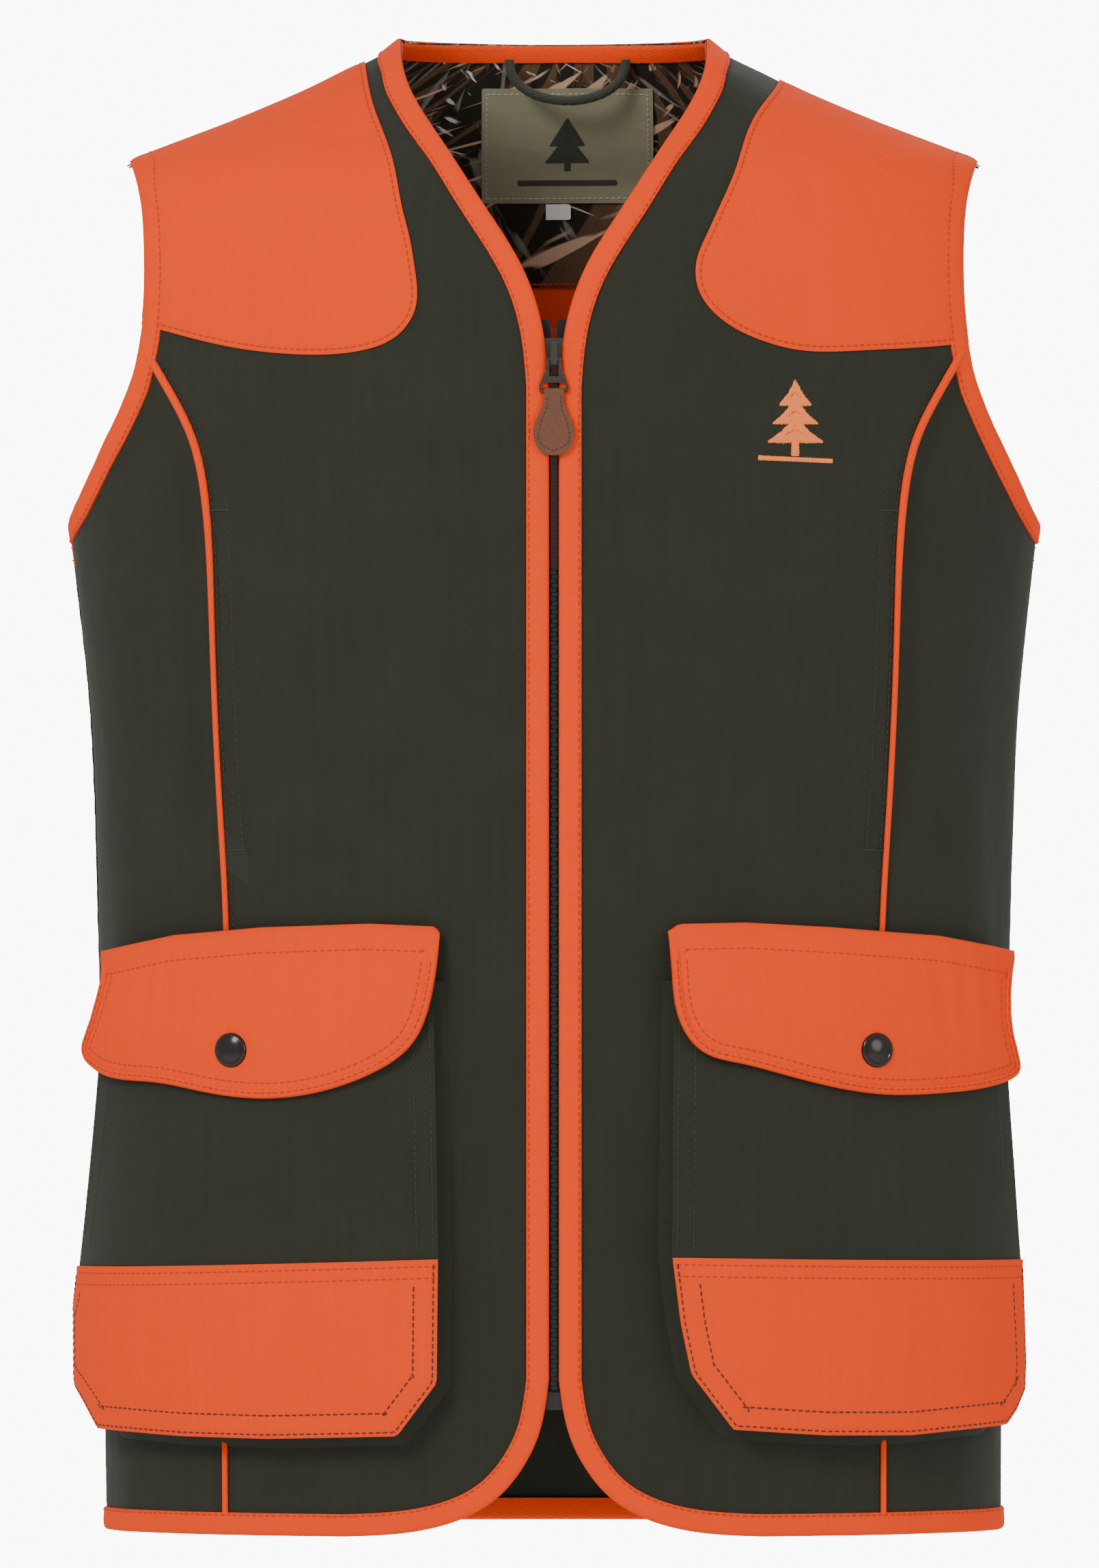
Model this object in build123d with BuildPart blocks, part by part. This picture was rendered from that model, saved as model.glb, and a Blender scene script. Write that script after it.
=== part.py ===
from build123d import *
import os
from bisect import bisect_right
from math import hypot, sqrt

os.makedirs("parts", exist_ok=True)

# A sleeveless field vest for a fourteen-year-old, held in the shape that it has when it is worn.
# +Z is up, the front faces -Y, and the wearer's left is +X. The hem stands at z = 0. Millimetres.

# ---------------------------------------------------------------- driving dimensions
# The worn shape is a stack of ellipses: height, half width, half depth.
SECTIONS = [
    (-12, 194.3, 100),
    (54, 194.9, 100),
    (120, 195.8, 100),
    (186, 196.9, 100),
    (252, 198.1, 100),
    (312, 199.5, 100),
    (362, 202, 100),
    (405, 206.6, 100),
    (445, 210.9, 100),
    (485, 212.8, 100),
    (525, 211.1, 99.8),
    (560, 205.5, 96.5),
    (578, 199, 91),
    (594.5, 185.5, 81),
    (602.5, 166.5, 74),
    (611, 144, 68),
    (620, 122, 63),
    (628, 104, 59.5),
    (635, 90, 57),
    (641, 77.5, 55.5),
    (649, 66.5, 54.5),
    (668, 60, 54),
]
fabric = 1.0  # thickness of one ply of cotton twill
seam = 0.1  # half of the gap left between two pieces that are sewn together
top_of_back = 650
half_depth_of_cut = 150  # past every surface
far = 262  # past the widest point, either way

# Plies, as offsets of the worn shape: inner face, outer face.
binding_inside = (-2.8, -1.8)
facing_ply = (-1.7, -0.6)
shell_ply = (-0.5, 0.5)
overlay_ply = (0.6, 1.6)
pouch_ply = (-1.7, -0.6)
label_ply = (-2.5, -1.8)
motif_ply = (0.6, 1.1)

binding_width = 9.8
tuck = 1.1  # how far the bound edge of the cloth stays inside its binding
slot = 1.0  # where the inside of the binding's fold begins
front_gap = 2.1  # from the centre line to the edge of each front binding
piping_width = 2.4
yoke_seam_height = 420
facing_bottom = 544

# Cargo pocket: how far its front stands off the body, height by height.
pocket_stand = [(20, 12.5), (60, 12.5), (120, 12), (200, 9.5), (240, 6.4), (270, 3)]
pocket_mouth = 240
base_top = 119
gusset_cloth = 1.2

# Its flap lies over the snap, so it stands off further.
flap_stand = [(150, 14), (185, 13.6), (210, 13), (240, 9.5), (255, 5.5), (264, 2.2), (276, 1.8)]
flap_ply = 0.9
flap_edge = 3.5
snap_x, snap_z = 142.5, 210
snap_cap_radius = 7.5

# Game pocket across the small of the back.
game_stand = [(20, 12), (62, 12), (200, 11.5), (290, 9), (320, 8)]
game_half_width, game_bottom, game_mouth = 125, 62, 300

# Moulded zip, 5 mm class, that opens at the bottom.
zip_y = -95.0
teeth_bottom, teeth_top = 64.5, 508.5
tooth_pitch = 3.8
tooth_height = 1.7
tooth_root = 1.45
tape_inner, tape_fold, tape_outer = 1.5, 5.0, 14.0
tape_bottom, tape_top = 63, 525
box_bottom, box_top = 55, 62.6
slider_z = 511
slider_length, slider_width = 12, 8.6
pull_pin_z, pull_y = 507.8, -102.9
tab_pin_z = 494.3
pin_radius = 0.7
crown_y = -105.2

# Neck: hanging loop, label and size tag.
label_x, label_width, label_height, label_bottom = 6, 76, 49, 582
loop_radius, loop_half_width, loop_drop, loop_top = 2.1, 25.5, 18, 642.5


# ---------------------------------------------------------------- the worn shape
def between(height, column):
    """Half width (column 1) or half depth (column 2) of the worn shape at a height."""
    upper = min(max(bisect_right([s[0] for s in SECTIONS], height), 1), len(SECTIONS) - 1)
    low, high = SECTIONS[upper - 1], SECTIONS[upper]
    share = (height - low[0]) / (high[0] - low[0])
    return low[column] + share * (high[column] - low[column])


def lofted(ellipses):
    """A closed solid through ellipses given as height, half width, half depth."""
    with BuildPart() as stack:
        for height, half_width, half_depth in ellipses:
            with BuildSketch(Plane.XY.offset(height)):
                Ellipse(half_width, half_depth)
        loft()
    return stack.part


def worn_shape(offset):
    """The worn shape grown by offset, square to its side line."""
    grown = []
    for index, (height, half_width, half_depth) in enumerate(SECTIONS):
        below = SECTIONS[max(index - 1, 0)]
        above = SECTIONS[min(index + 1, len(SECTIONS) - 1)]
        rise, run = above[0] - below[0], below[1] - above[1]
        along = hypot(rise, run)
        grown.append(
            (height + offset * run / along, half_width + offset * rise / along, half_depth + offset)
        )
    return lofted(grown)


def standing_shape(stand, extra):
    """A bulge of the worn shape that stands off it by stand, a list of height and offset."""
    return lofted(
        [(z, between(z, 1) + off + extra, between(z, 2) + off + extra) for z, off in stand]
    )


def layer(outer, inner):
    """What is left of one closed shape when another is taken out of it."""
    with BuildPart() as rest:
        add(outer)
        add(inner, mode=Mode.SUBTRACT)
    return rest.part


def ply(faces):
    """The closed layer between two offsets of the worn shape."""
    return layer(worn_shape(faces[1]), worn_shape(faces[0]))


def standing_ply(stand, inner, outer):
    """The closed layer between two offsets of a standing shape."""
    return layer(standing_shape(stand, outer), standing_shape(stand, inner))


def standing_offset(stand, height):
    """How far a standing shape is off the body at a height."""
    for (z0, off0), (z1, off1) in zip(stand, stand[1:]):
        if z0 <= height <= z1:
            return off0 + (off1 - off0) * (height - z0) / (z1 - z0)
    return stand[-1][1]


def front_plane(x, z, offset):
    """A plane on the front surface that is offset from the worn shape, facing outwards."""
    half_width, half_depth = between(z, 1) + offset, between(z, 2) + offset
    y = -half_depth * sqrt(1 - (x / half_width) ** 2)
    normal = (x / half_width**2, y / half_depth**2, 0)
    return Plane(origin=(x, y, z), x_dir=(-normal[1], normal[0], 0), z_dir=normal)


# ---------------------------------------------------------------- outlines, seen from the front
def beside(line, distance, steps=18):
    """Points along a line, moved to its left by distance."""
    moved = []
    for step in range(steps + 1):
        point, along = line @ (step / steps), line % (step / steps)
        moved.append((point.X - distance * along.Y, point.Y + distance * along.X))
    return moved


def area(line, distance=0, corners=None):
    """What lies to the left of a smooth line, out to far, with the line moved left by distance."""
    with BuildSketch(Plane.XZ) as found:
        with BuildLine():
            edge = Spline(*beside(line, distance))
            first, last = edge @ 0, edge @ 1
            Polyline(last, *(corners or [(far, last.Y), (far, first.Y)]), first)
        make_face()
    return found


def without(whole, part):
    """One outline with another taken out of it."""
    with BuildSketch(Plane.XZ) as rest:
        add(whole.sketch)
        add(part.sketch, mode=Mode.SUBTRACT)
    return rest


# The armhole's edge, downwards from above the shoulder to below the arm.
with BuildLine() as armhole_edge:
    Spline(
        (194, 612), (181, 587), (177.2, 560), (177.6, 530), (184, 497), (197.5, 467), (213, 434),
        (222, 418),
    )
armhole = area(armhole_edge.line)
armhole_tuck = area(armhole_edge.line, -tuck)
armhole_band = area(armhole_edge.line, -binding_width - seam)
armhole_strip = without(area(armhole_edge.line, -binding_width), armhole)
armhole_slot = without(area(armhole_edge.line, -binding_width - 3), area(armhole_edge.line, -slot))

# The front's own edge: V neck, straight front, round lower corner, hem.
with BuildLine() as neck_edge:
    Spline(
        (66.5, 664), (66.5, 641), (49.7, 605), (29, 573), (13, 546.5), (4.6, 520), (front_gap, 496),
        tangents=((0, -1), (0, -1)),
    )
with BuildLine() as corner_edge:
    Spline(
        (front_gap, 68), (7, 43), (13.5, 30), (24.5, 17), (52, 4), (90, 0),
        tangents=((0, -1), (1, 0)),
    )


def front_area(inset):
    """Half of the front, with its edge moved in by inset."""
    with BuildSketch(Plane.XZ) as found:
        with BuildLine():
            neck = Spline(*beside(neck_edge.line, inset), tangents=((0, -1), (0, -1)))
            corner = Spline(*beside(corner_edge.line, inset), tangents=((0, -1), (1, 0)))
            Line(neck @ 1, corner @ 0)
            Polyline(corner @ 1, (far, inset), (far, 664), neck @ 0)
        make_face()
    return found


front = front_area(0)
front_inset = front_area(binding_width)
front_tuck = front_area(tuck)
front_slot = front_area(slot)

# The princess seam, downwards from the armhole to the hem.
with BuildLine() as princess_edge:
    Spline(
        (182, 522), (168, 498), (156.5, 475), (150.3, 445), (148, 400), (145.6, 335), (142, 268),
        (141.5, 150), (141.5, -20), tangents=((-0.5, -1), (0, -1)),
    )
side_in = area(princess_edge.line, piping_width / 2 + seam)
side_out = area(princess_edge.line, -piping_width / 2 - seam)
piping_line = without(
    area(princess_edge.line, -piping_width / 2), area(princess_edge.line, piping_width / 2)
)

# The shoulder patch, for the gun's recoil.
with BuildLine() as patch_edge:
    Spline(
        (100, 656), (84, 618), (74, 592), (64.8, 564), (60.3, 543), (64, 526), (80, 515), (104, 511),
        (135, 512), (182, 520),
    )
patch = without(area(patch_edge.line), armhole_band)

# The cargo pocket: orange base with cut corners, olive front above it.
with BuildSketch(Plane.XZ) as pocket_outline:
    with BuildLine():
        Polyline(
            (53, pocket_mouth), (52, base_top), (56, 69), (74, 45.3), (126, 42.6), (198, 45.2),
            (206.4, 61), (205, base_top), (195, pocket_mouth), close=True,
        )
    make_face()

with BuildSketch(Plane.XZ) as base_band:
    with Locations((0, base_top - seam)):
        Rectangle(far, base_top + far, align=(Align.MIN, Align.MAX))

with BuildSketch(Plane.XZ) as below_seam:
    with Locations((0, base_top - 2 * seam)):
        Rectangle(far, base_top + far, align=(Align.MIN, Align.MAX))

with BuildSketch(Plane.XZ) as gusset_ring:
    with BuildSketch(Plane.XZ):
        add(pocket_outline.sketch)
        offset(amount=-0.4)
    with BuildSketch(Plane.XZ, mode=Mode.SUBTRACT):
        add(pocket_outline.sketch)
        offset(amount=-0.4 - gusset_cloth)
    with Locations((0, pocket_mouth - 2)):
        Rectangle(far, 30, align=(Align.MIN, Align.MIN), mode=Mode.SUBTRACT)

# The flap: its top edge is sewn to the front, its free edge is bound.
with BuildLine() as flap_top:
    Spline((51.5, 263.2), (81, 264.6), (123, 263), (165, 259.3), (198, 252.4))
with BuildLine() as flap_free_edge:
    Spline(
        (51.4, 252), (54, 232), (61, 214), (78, 203), (118, 193), (148, 190.9), (174, 193.3), (195, 198),
        (202.6, 206), (200.6, 219), (198.4, 246),
    )
with BuildSketch(Plane.XZ) as flap_outline:
    with BuildLine():
        upper = Spline(*beside(flap_top.line, 0))
        free = Spline(*beside(flap_free_edge.line, 0))
        Line(upper @ 0, free @ 0)
        Line(free @ 1, upper @ 1)
    make_face()
above_flap = [(194, 290), (60, 290)]
flap_inside = area(flap_free_edge.line, flap_edge, above_flap)
flap_inside_and_gap = area(flap_free_edge.line, flap_edge - seam, above_flap)
with BuildSketch(Plane.XZ) as flap_field:
    add(flap_inside.sketch)
    add(flap_outline.sketch, mode=Mode.INTERSECT)
flap_rim = without(flap_outline, flap_inside_and_gap)

with BuildSketch(Plane.XZ) as game_outline:
    with Locations((0, (game_bottom + game_mouth) / 2)):
        Rectangle(2 * game_half_width, game_mouth - game_bottom)
    fillet(game_outline.vertices().group_by(Axis.Z)[0], 28)


# ---------------------------------------------------------------- cutting the cloth
def cut(cloth, outlines, away=(), faces=-1):
    """The part of the cloth inside outlines and clear of those in away, on the front (-1) or back."""
    with BuildPart() as piece:
        add(cloth)
        with BuildSketch(Plane.XZ.offset(-faces * seam / 2)):
            add(outlines[0].sketch)
            for outline in outlines[1:]:
                add(outline.sketch, mode=Mode.INTERSECT)
            for outline in away:
                add(outline.sketch, mode=Mode.SUBTRACT)
        extrude(amount=-faces * half_depth_of_cut, mode=Mode.INTERSECT)
    return piece



def bound(cloth, core, strip, strip_core, faces=-1):
    """A bias binding folded round an edge: a strip of the whole thickness with a slot in it."""
    whole = cut(cloth, strip[0], strip[1], faces)
    inside = cut(core, strip_core, faces=faces)
    with BuildPart() as binding:
        add(whole.part)
        add(inside.part, mode=Mode.SUBTRACT)
    return binding


# These three work inside the sub-part's own block.
def block(low, high, mode=Mode.ADD):
    """A plain block between two corners."""
    with Locations([tuple((low[i] + high[i]) / 2 for i in range(3))]):
        Box(*[high[i] - low[i] for i in range(3)], mode=mode)


def disc(plane, radius, start, end, bore=0, mode=Mode.ADD):
    """A round piece on a plane, from start to end along its normal."""
    with BuildSketch(plane.offset(start)) as face:
        Circle(radius)
        if bore:
            Circle(bore, mode=Mode.SUBTRACT)
    extrude(face.sketch, amount=end - start, mode=mode)


def pin(y, z, radius, half_length, mode=Mode.ADD):
    """A round pin, or the hole for one, across the vest."""
    with Locations(Location((0, y, z), (0, 90, 0))):
        Cylinder(radius, 2 * half_length, mode=mode)


shell = ply(shell_ply)
overlay = ply(overlay_ply)
binding_layer = ply((binding_inside[0], overlay_ply[1]))
binding_core = ply((binding_inside[1], overlay_ply[0]))
pieces = {}  # written as they are
left_pieces = {}  # made on the wearer's left, then mirrored

# ---------------------------------------------------------------- front
left_pieces["front_center"] = cut(shell, [front_tuck], [side_out, armhole_tuck])
left_pieces["front_side"] = cut(shell, [front_tuck, side_in], [armhole_tuck])
left_pieces["shoulder_patch"] = cut(overlay, [patch], [armhole_band])
left_pieces["princess_piping"] = cut(
    ply((shell_ply[0], overlay_ply[1])), [piping_line, front_inset], [armhole_band]
)

left_pieces["front_binding"] = bound(
    binding_layer, binding_core, ([front], [front_inset]), [front_slot]
)

# The armhole's binding goes all round it, over the shoulder and under the arm.
with BuildPart() as armhole_core:
    add(binding_core)
    with BuildSketch(Plane.XZ):
        add(armhole_slot.sketch)
    extrude(amount=half_depth_of_cut, both=True, mode=Mode.INTERSECT)

with BuildPart() as armhole_binding:
    add(binding_layer)
    with BuildSketch(Plane.XZ):
        add(armhole_strip.sketch)
    extrude(amount=half_depth_of_cut, both=True, mode=Mode.INTERSECT)
    add(armhole_core.part, mode=Mode.SUBTRACT)
left_pieces["armhole_binding"] = armhole_binding

# The bag of the hand pocket hangs inside, behind the princess seam.
with BuildSketch(Plane.XZ) as hand_bag:
    with BuildLine():
        Polyline((146, 446), (146, 290), (118, 272), (72, 272), (62, 290), (66, 350), (104, 430), close=True)
    make_face()
    fillet(hand_bag.vertices(), 9)
left_pieces["hand_pocket_bag"] = cut(ply(pouch_ply), [hand_bag])

# An embroidered fir tree on the wearer's left breast.
with BuildSketch(Plane.XZ) as fir_tree:
    for tier, half_width in enumerate((13, 10.5, 7.5)):
        with BuildLine():
            foot = 472 + 8 * tier
            Polyline((104 - half_width, foot), (104 + half_width, foot), (104, foot + 11), close=True)
        make_face()
    with Locations((104, 469)):
        Rectangle(4, 8)
pieces["chest_emblem"] = cut(ply(motif_ply), [fir_tree])

# ---------------------------------------------------------------- zip
for name, side, first in (("zip_teeth_left", 1, 0), ("zip_teeth_right", -1, tooth_pitch / 2)):
    root, head, half = tooth_root * side, -1.15 * side, tooth_height / 2
    tooth = (
        (root, -half), (head * 0.6, -half), (head, -half * 0.45), (head, half * 0.45),
        (head * 0.6, half), (root, half),
    )
    count = int((teeth_top - teeth_bottom - first) / tooth_pitch) + 1
    with BuildPart() as teeth:
        with BuildSketch(Plane.XZ.offset(-zip_y - 0.9)):
            with Locations([(0, teeth_bottom + first + step * tooth_pitch) for step in range(count)]):
                Polygon(*tooth, align=None)
        extrude(amount=1.8)
    pieces[name] = teeth

# The tape is sewn up against the inside of the front binding, which fills the fold.
inside_binding = worn_shape(binding_inside[0] - 0.05)
with BuildPart() as zip_tape:
    block((tape_fold, -110, tape_bottom), (tape_outer, zip_y + 0.3, tape_top - 6))
    add(inside_binding, mode=Mode.INTERSECT)
    block((tape_inner, zip_y - 0.3, tape_bottom), (tape_fold + 0.5, zip_y + 0.3, tape_top))
left_pieces["zip_tape"] = zip_tape

with BuildPart() as top_stop:
    block((0.7, zip_y - 0.9, slider_z + 8), (tooth_root, zip_y + 0.9, slider_z + 10.5))
left_pieces["zip_top_stop"] = top_stop

# The retaining box is fixed to the wearer's left side, and the pin on the right goes down into it.
with BuildPart() as zip_bottom_box:
    block((-3.2, zip_y - 1.5, box_bottom), (4.4, zip_y + 1.5, box_top))
    block((-2.3, zip_y - 0.8, box_bottom + 1.5), (-0.3, zip_y + 0.8, box_top), mode=Mode.SUBTRACT)
pieces["zip_bottom_box"] = zip_bottom_box
with BuildPart() as zip_insertion_pin:
    block((-2.0, zip_y - 0.6, box_bottom + 2), (-0.6, zip_y + 0.6, box_top + 0.3))
pieces["zip_insertion_pin"] = zip_insertion_pin

low, high = slider_z - slider_length / 2, slider_z + slider_length / 2
half = slider_width / 2
with BuildPart() as zip_slider_body:
    for face in (-1, 1):
        lip, near, out = zip_y + face * 0.45, zip_y + face * 1.1, zip_y + face * 1.9
        block((-half, min(near, out), low), (half, max(near, out), high))
        for flange_side in (-1, 1):
            flange = sorted((flange_side * half, flange_side * (half - 0.7)))
            block((flange[0], min(lip, near), low), (flange[1], max(lip, near), high))
    block((-0.6, zip_y - 1.2, high - 4), (0.6, zip_y + 1.2, high))
    block((-1.5, crown_y, low + 0.5), (1.5, zip_y - 1.9, low + 10.5))
    block((-2, crown_y + 1.35, low + 2), (2, zip_y - 3.2, low + 9), mode=Mode.SUBTRACT)
pieces["zip_slider_body"] = zip_slider_body

with BuildPart() as zip_pull:
    with BuildSketch(Plane.XZ.offset(-pull_y - 0.7)):
        with BuildLine():
            Polyline(
                (-3.1, 508.5), (3.1, 508.5), (3.6, 503), (6.3, 496.5), (6.3, 493.6), (-6.3, 493.6),
                (-6.3, 496.5), (-3.6, 503), close=True,
            )
        make_face()
        with Locations((0, 506.6)):
            Rectangle(3.9, 12.4, mode=Mode.SUBTRACT)
        with Locations((0, 495.3)):
            Rectangle(10.4, 4.6, mode=Mode.SUBTRACT)
    extrude(amount=1.4)
    with BuildSketch(Plane.XZ.offset(-pull_y - 0.7)):
        with Locations((0, 499)):
            Rectangle(6.6, 2.4)
    extrude(amount=1.4)
    pin(pull_y, pull_pin_z, pin_radius, 3.0)
    pin(pull_y, tab_pin_z, pin_radius, 5.4)
pieces["zip_pull"] = zip_pull

with BuildPart() as pull_tab:
    with BuildSketch(Plane.XZ.offset(-pull_y - 1.15)):
        with BuildLine():
            right_edge = Spline((4.2, 496.2), (4.6, 489), (8.9, 476), (6.6, 469), (0, 466.4),
                                tangents=((0, -1), (-1, 0)))
            left_edge = Spline((-4.2, 496.2), (-4.6, 489), (-8.9, 476), (-6.6, 469), (0, 466.4),
                               tangents=((0, -1), (1, 0)))
            Line(right_edge @ 0, left_edge @ 0)
        make_face()
    extrude(amount=2.3)
    block((-5, pull_y - 2, tab_pin_z), (5, pull_y + 2, 497), mode=Mode.SUBTRACT)
    pin(pull_y, tab_pin_z, 1.15, 4.3)
    pin(pull_y, tab_pin_z, pin_radius + 0.1, 10, mode=Mode.SUBTRACT)
pieces["pull_tab"] = pull_tab

# ---------------------------------------------------------------- cargo pockets
pocket_layer = standing_ply(pocket_stand, 0, fabric)
pocket_depth = layer(standing_shape(pocket_stand, -seam), worn_shape(overlay_ply[1] + seam))
flap_inner = standing_ply(flap_stand, 0, flap_ply - seam)
flap_outer = standing_ply(flap_stand, flap_ply, 2 * flap_ply)
flap_whole = standing_ply(flap_stand, 0, 2 * flap_ply)

pocket_surface = standing_offset(pocket_stand, snap_z) + fabric
flap_surface = standing_offset(flap_stand, snap_z)
on_pocket = front_plane(snap_x, snap_z, pocket_surface)
under_flap = on_pocket.offset(flap_surface - pocket_surface)
on_flap = under_flap.offset(2 * flap_ply)


with BuildPart() as snap_stud:
    disc(on_pocket, 5.5, 0.2, 0.8)
    disc(on_pocket, 2.9, 0.8, 2.2)
with BuildPart() as snap_post:
    disc(on_pocket, 1.5, -1.9, 0.15)
    disc(on_pocket, 4.5, -2.5, -1.9)
with BuildPart() as snap_socket:
    disc(under_flap, 6.0, -1.7, -0.3, bore=3.3)
with BuildPart() as snap_cap:
    disc(on_flap, snap_cap_radius, 0.2, 0.9)
    with BuildSketch(on_flap.offset(0.9)):
        Circle(snap_cap_radius - 0.3)
    extrude(amount=0.9, taper=35)
    disc(under_flap, 1.5, -0.25, 2 * flap_ply + 0.3)

pocket_cloth = cut(pocket_layer, [pocket_outline], [base_band])
with BuildPart() as pocket_front:
    add(pocket_cloth.part)
    disc(on_pocket, 5.6, 0.1, 3, mode=Mode.SUBTRACT)
    disc(on_pocket, 1.6, -3, 1, mode=Mode.SUBTRACT)
    disc(on_pocket, 4.6, -3, -1.8, mode=Mode.SUBTRACT)
left_pieces["pocket_front"] = pocket_front
left_pieces["pocket_base"] = cut(pocket_layer, [pocket_outline, below_seam])
left_pieces["pocket_gusset"] = cut(pocket_depth, [gusset_ring])
left_pieces["snap_stud"] = snap_stud
left_pieces["snap_post"] = snap_post

flap_cloth = cut(flap_outer, [flap_field])
with BuildPart() as pocket_flap:
    add(flap_cloth.part)
    disc(on_flap, snap_cap_radius + 0.1, 0.1, 4, mode=Mode.SUBTRACT)
    disc(under_flap, 1.6, -1, 3, mode=Mode.SUBTRACT)
lining_cloth = cut(flap_inner, [flap_field])
with BuildPart() as flap_lining:
    add(lining_cloth.part)
    disc(under_flap, 6.1, -3, -0.2, mode=Mode.SUBTRACT)
    disc(under_flap, 1.6, -1, 3, mode=Mode.SUBTRACT)
left_pieces["pocket_flap"] = pocket_flap
left_pieces["flap_lining"] = flap_lining
left_pieces["flap_binding"] = cut(flap_whole, [flap_rim])
left_pieces["snap_cap"] = snap_cap
left_pieces["snap_socket"] = snap_socket

# ---------------------------------------------------------------- back
with BuildSketch(Plane.XZ) as back_yoke_outline:
    with Locations((0, yoke_seam_height + seam)):
        Rectangle(2 * far, top_of_back - tuck - yoke_seam_height - seam, align=(Align.CENTER, Align.MIN))
with BuildSketch(Plane.XZ) as back_body_outline:
    with Locations((0, tuck)):
        Rectangle(2 * far, yoke_seam_height - seam - tuck, align=(Align.CENTER, Align.MIN))
with BuildSketch(Plane.XZ) as facing_outline:
    with Locations((0, facing_bottom)):
        Rectangle(2 * far, top_of_back - tuck - facing_bottom, align=(Align.CENTER, Align.MIN))
with BuildSketch(Plane.XZ) as both_armholes:
    add(armhole_tuck.sketch)
    mirror(armhole_tuck.sketch, about=Plane.YZ)

pieces["back_yoke"] = cut(shell, [back_yoke_outline], [both_armholes], faces=1)
pieces["back_panel"] = cut(shell, [back_body_outline], [both_armholes], faces=1)
pieces["back_facing"] = cut(ply(facing_ply), [facing_outline], [both_armholes], faces=1)

with BuildSketch(Plane.XZ) as neck_strip:
    with Locations((0, top_of_back)):
        Rectangle(2 * far, binding_width, align=(Align.CENTER, Align.MAX))
with BuildSketch(Plane.XZ) as neck_strip_core:
    with Locations((0, top_of_back - slot)):
        Rectangle(2 * far, binding_width, align=(Align.CENTER, Align.MAX))
pieces["neck_binding"] = bound(
    binding_layer, binding_core, ([neck_strip], []), [neck_strip_core], faces=1
)


def half_ring(height, faces):
    """The back half of the band between two offsets of the worn shape, on a level plane."""
    half_width, half_depth = between(height, 1), between(height, 2)
    with BuildSketch(Plane.XY.offset(height)) as ring:
        Ellipse(half_width + faces[1], half_depth + faces[1])
        Ellipse(half_width + faces[0], half_depth + faces[0], mode=Mode.SUBTRACT)
        with Locations((0, seam / 2)):
            Rectangle(2 * far, far, align=(Align.CENTER, Align.MAX), mode=Mode.SUBTRACT)
    return ring.sketch


# The worn shape is straight at the hem, so the hem's binding is a band with a groove in its top.
with BuildPart() as back_hem_binding:
    extrude(half_ring(0, (binding_inside[0], overlay_ply[1] + seam)), amount=binding_width)
    extrude(
        half_ring(slot, (binding_inside[1], overlay_ply[0] + seam)), amount=binding_width, mode=Mode.SUBTRACT
    )
pieces["back_hem_binding"] = back_hem_binding

# The game pocket: a bellows panel with a bound mouth.
with BuildSketch(Plane.XZ) as game_ring:
    with BuildSketch(Plane.XZ):
        add(game_outline.sketch)
        offset(amount=-0.4)
    with BuildSketch(Plane.XZ, mode=Mode.SUBTRACT):
        add(game_outline.sketch)
        offset(amount=-0.4 - gusset_cloth)
    with Locations((0, game_mouth - 2)):
        Rectangle(2 * far, 40, align=(Align.CENTER, Align.MIN), mode=Mode.SUBTRACT)
with BuildSketch(Plane.XZ) as game_mouth_strip:
    with Locations((0, game_mouth - binding_width / 2 + tuck)):
        Rectangle(2 * game_half_width, binding_width)
with BuildSketch(Plane.XZ) as game_mouth_core:
    with Locations((0, game_mouth - binding_width / 2)):
        Rectangle(2 * far, binding_width + 0.2)
game_depth = layer(standing_shape(game_stand, -1 - seam), worn_shape(overlay_ply[1] + seam))
pieces["game_pocket_panel"] = cut(standing_ply(game_stand, 0, fabric), [game_outline], faces=1)
pieces["game_pocket_binding"] = bound(
    standing_ply(game_stand, -1, fabric + 1), standing_ply(game_stand, -seam, fabric + seam),
    ([game_mouth_strip], []), [game_mouth_core], faces=1,
)
pieces["game_pocket_gusset"] = cut(game_depth, [game_ring], faces=1)

# ---------------------------------------------------------------- inside the neck
with BuildSketch(Plane.XZ) as label_outline:
    with Locations((label_x, label_bottom + label_height / 2)):
        RectangleRounded(label_width, label_height, 2)
with BuildSketch(Plane.XZ) as tag_outline:
    with Locations((label_x - 4, label_bottom - 3.6)):
        Rectangle(11, 6.7)
pieces["neck_label"] = cut(ply(label_ply), [label_outline], faces=1)
pieces["size_tag"] = cut(ply(label_ply), [tag_outline], faces=1)

loop_y = (between(loop_top, 2) + binding_inside[0]) * sqrt(
    1 - ((loop_half_width + label_x) / between(loop_top, 1)) ** 2
) - loop_radius - 2.5
with BuildPart() as hanging_loop:
    with BuildLine(Plane.XZ.offset(-loop_y)):
        cord = ThreePointArc(
            (label_x - loop_half_width, loop_top), (label_x, loop_top - loop_drop),
            (label_x + loop_half_width, loop_top),
        )
    with BuildSketch(Plane(origin=cord @ 0, z_dir=cord % 0)):
        Circle(loop_radius)
    sweep()
pieces["hanging_loop"] = hanging_loop

# ---------------------------------------------------------------- writing
for name, piece in left_pieces.items():
    with BuildPart() as mirrored:
        mirror(piece.part, about=Plane.YZ)
    pieces[f"{name}_left"] = piece
    pieces[f"{name}_right"] = mirrored

for name, piece in pieces.items():
    piece.part.label = name
    export_step(piece.part, f"parts/{name}.step")
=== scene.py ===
"""The looks of a blaze orange and olive field vest, built round its CAD frame.

Lengths are millimetres until a mesh is made.
"""

import math

import bpy
import numpy as np
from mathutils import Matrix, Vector, kdtree
from mathutils.geometry import delaunay_2d_cdt


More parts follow.
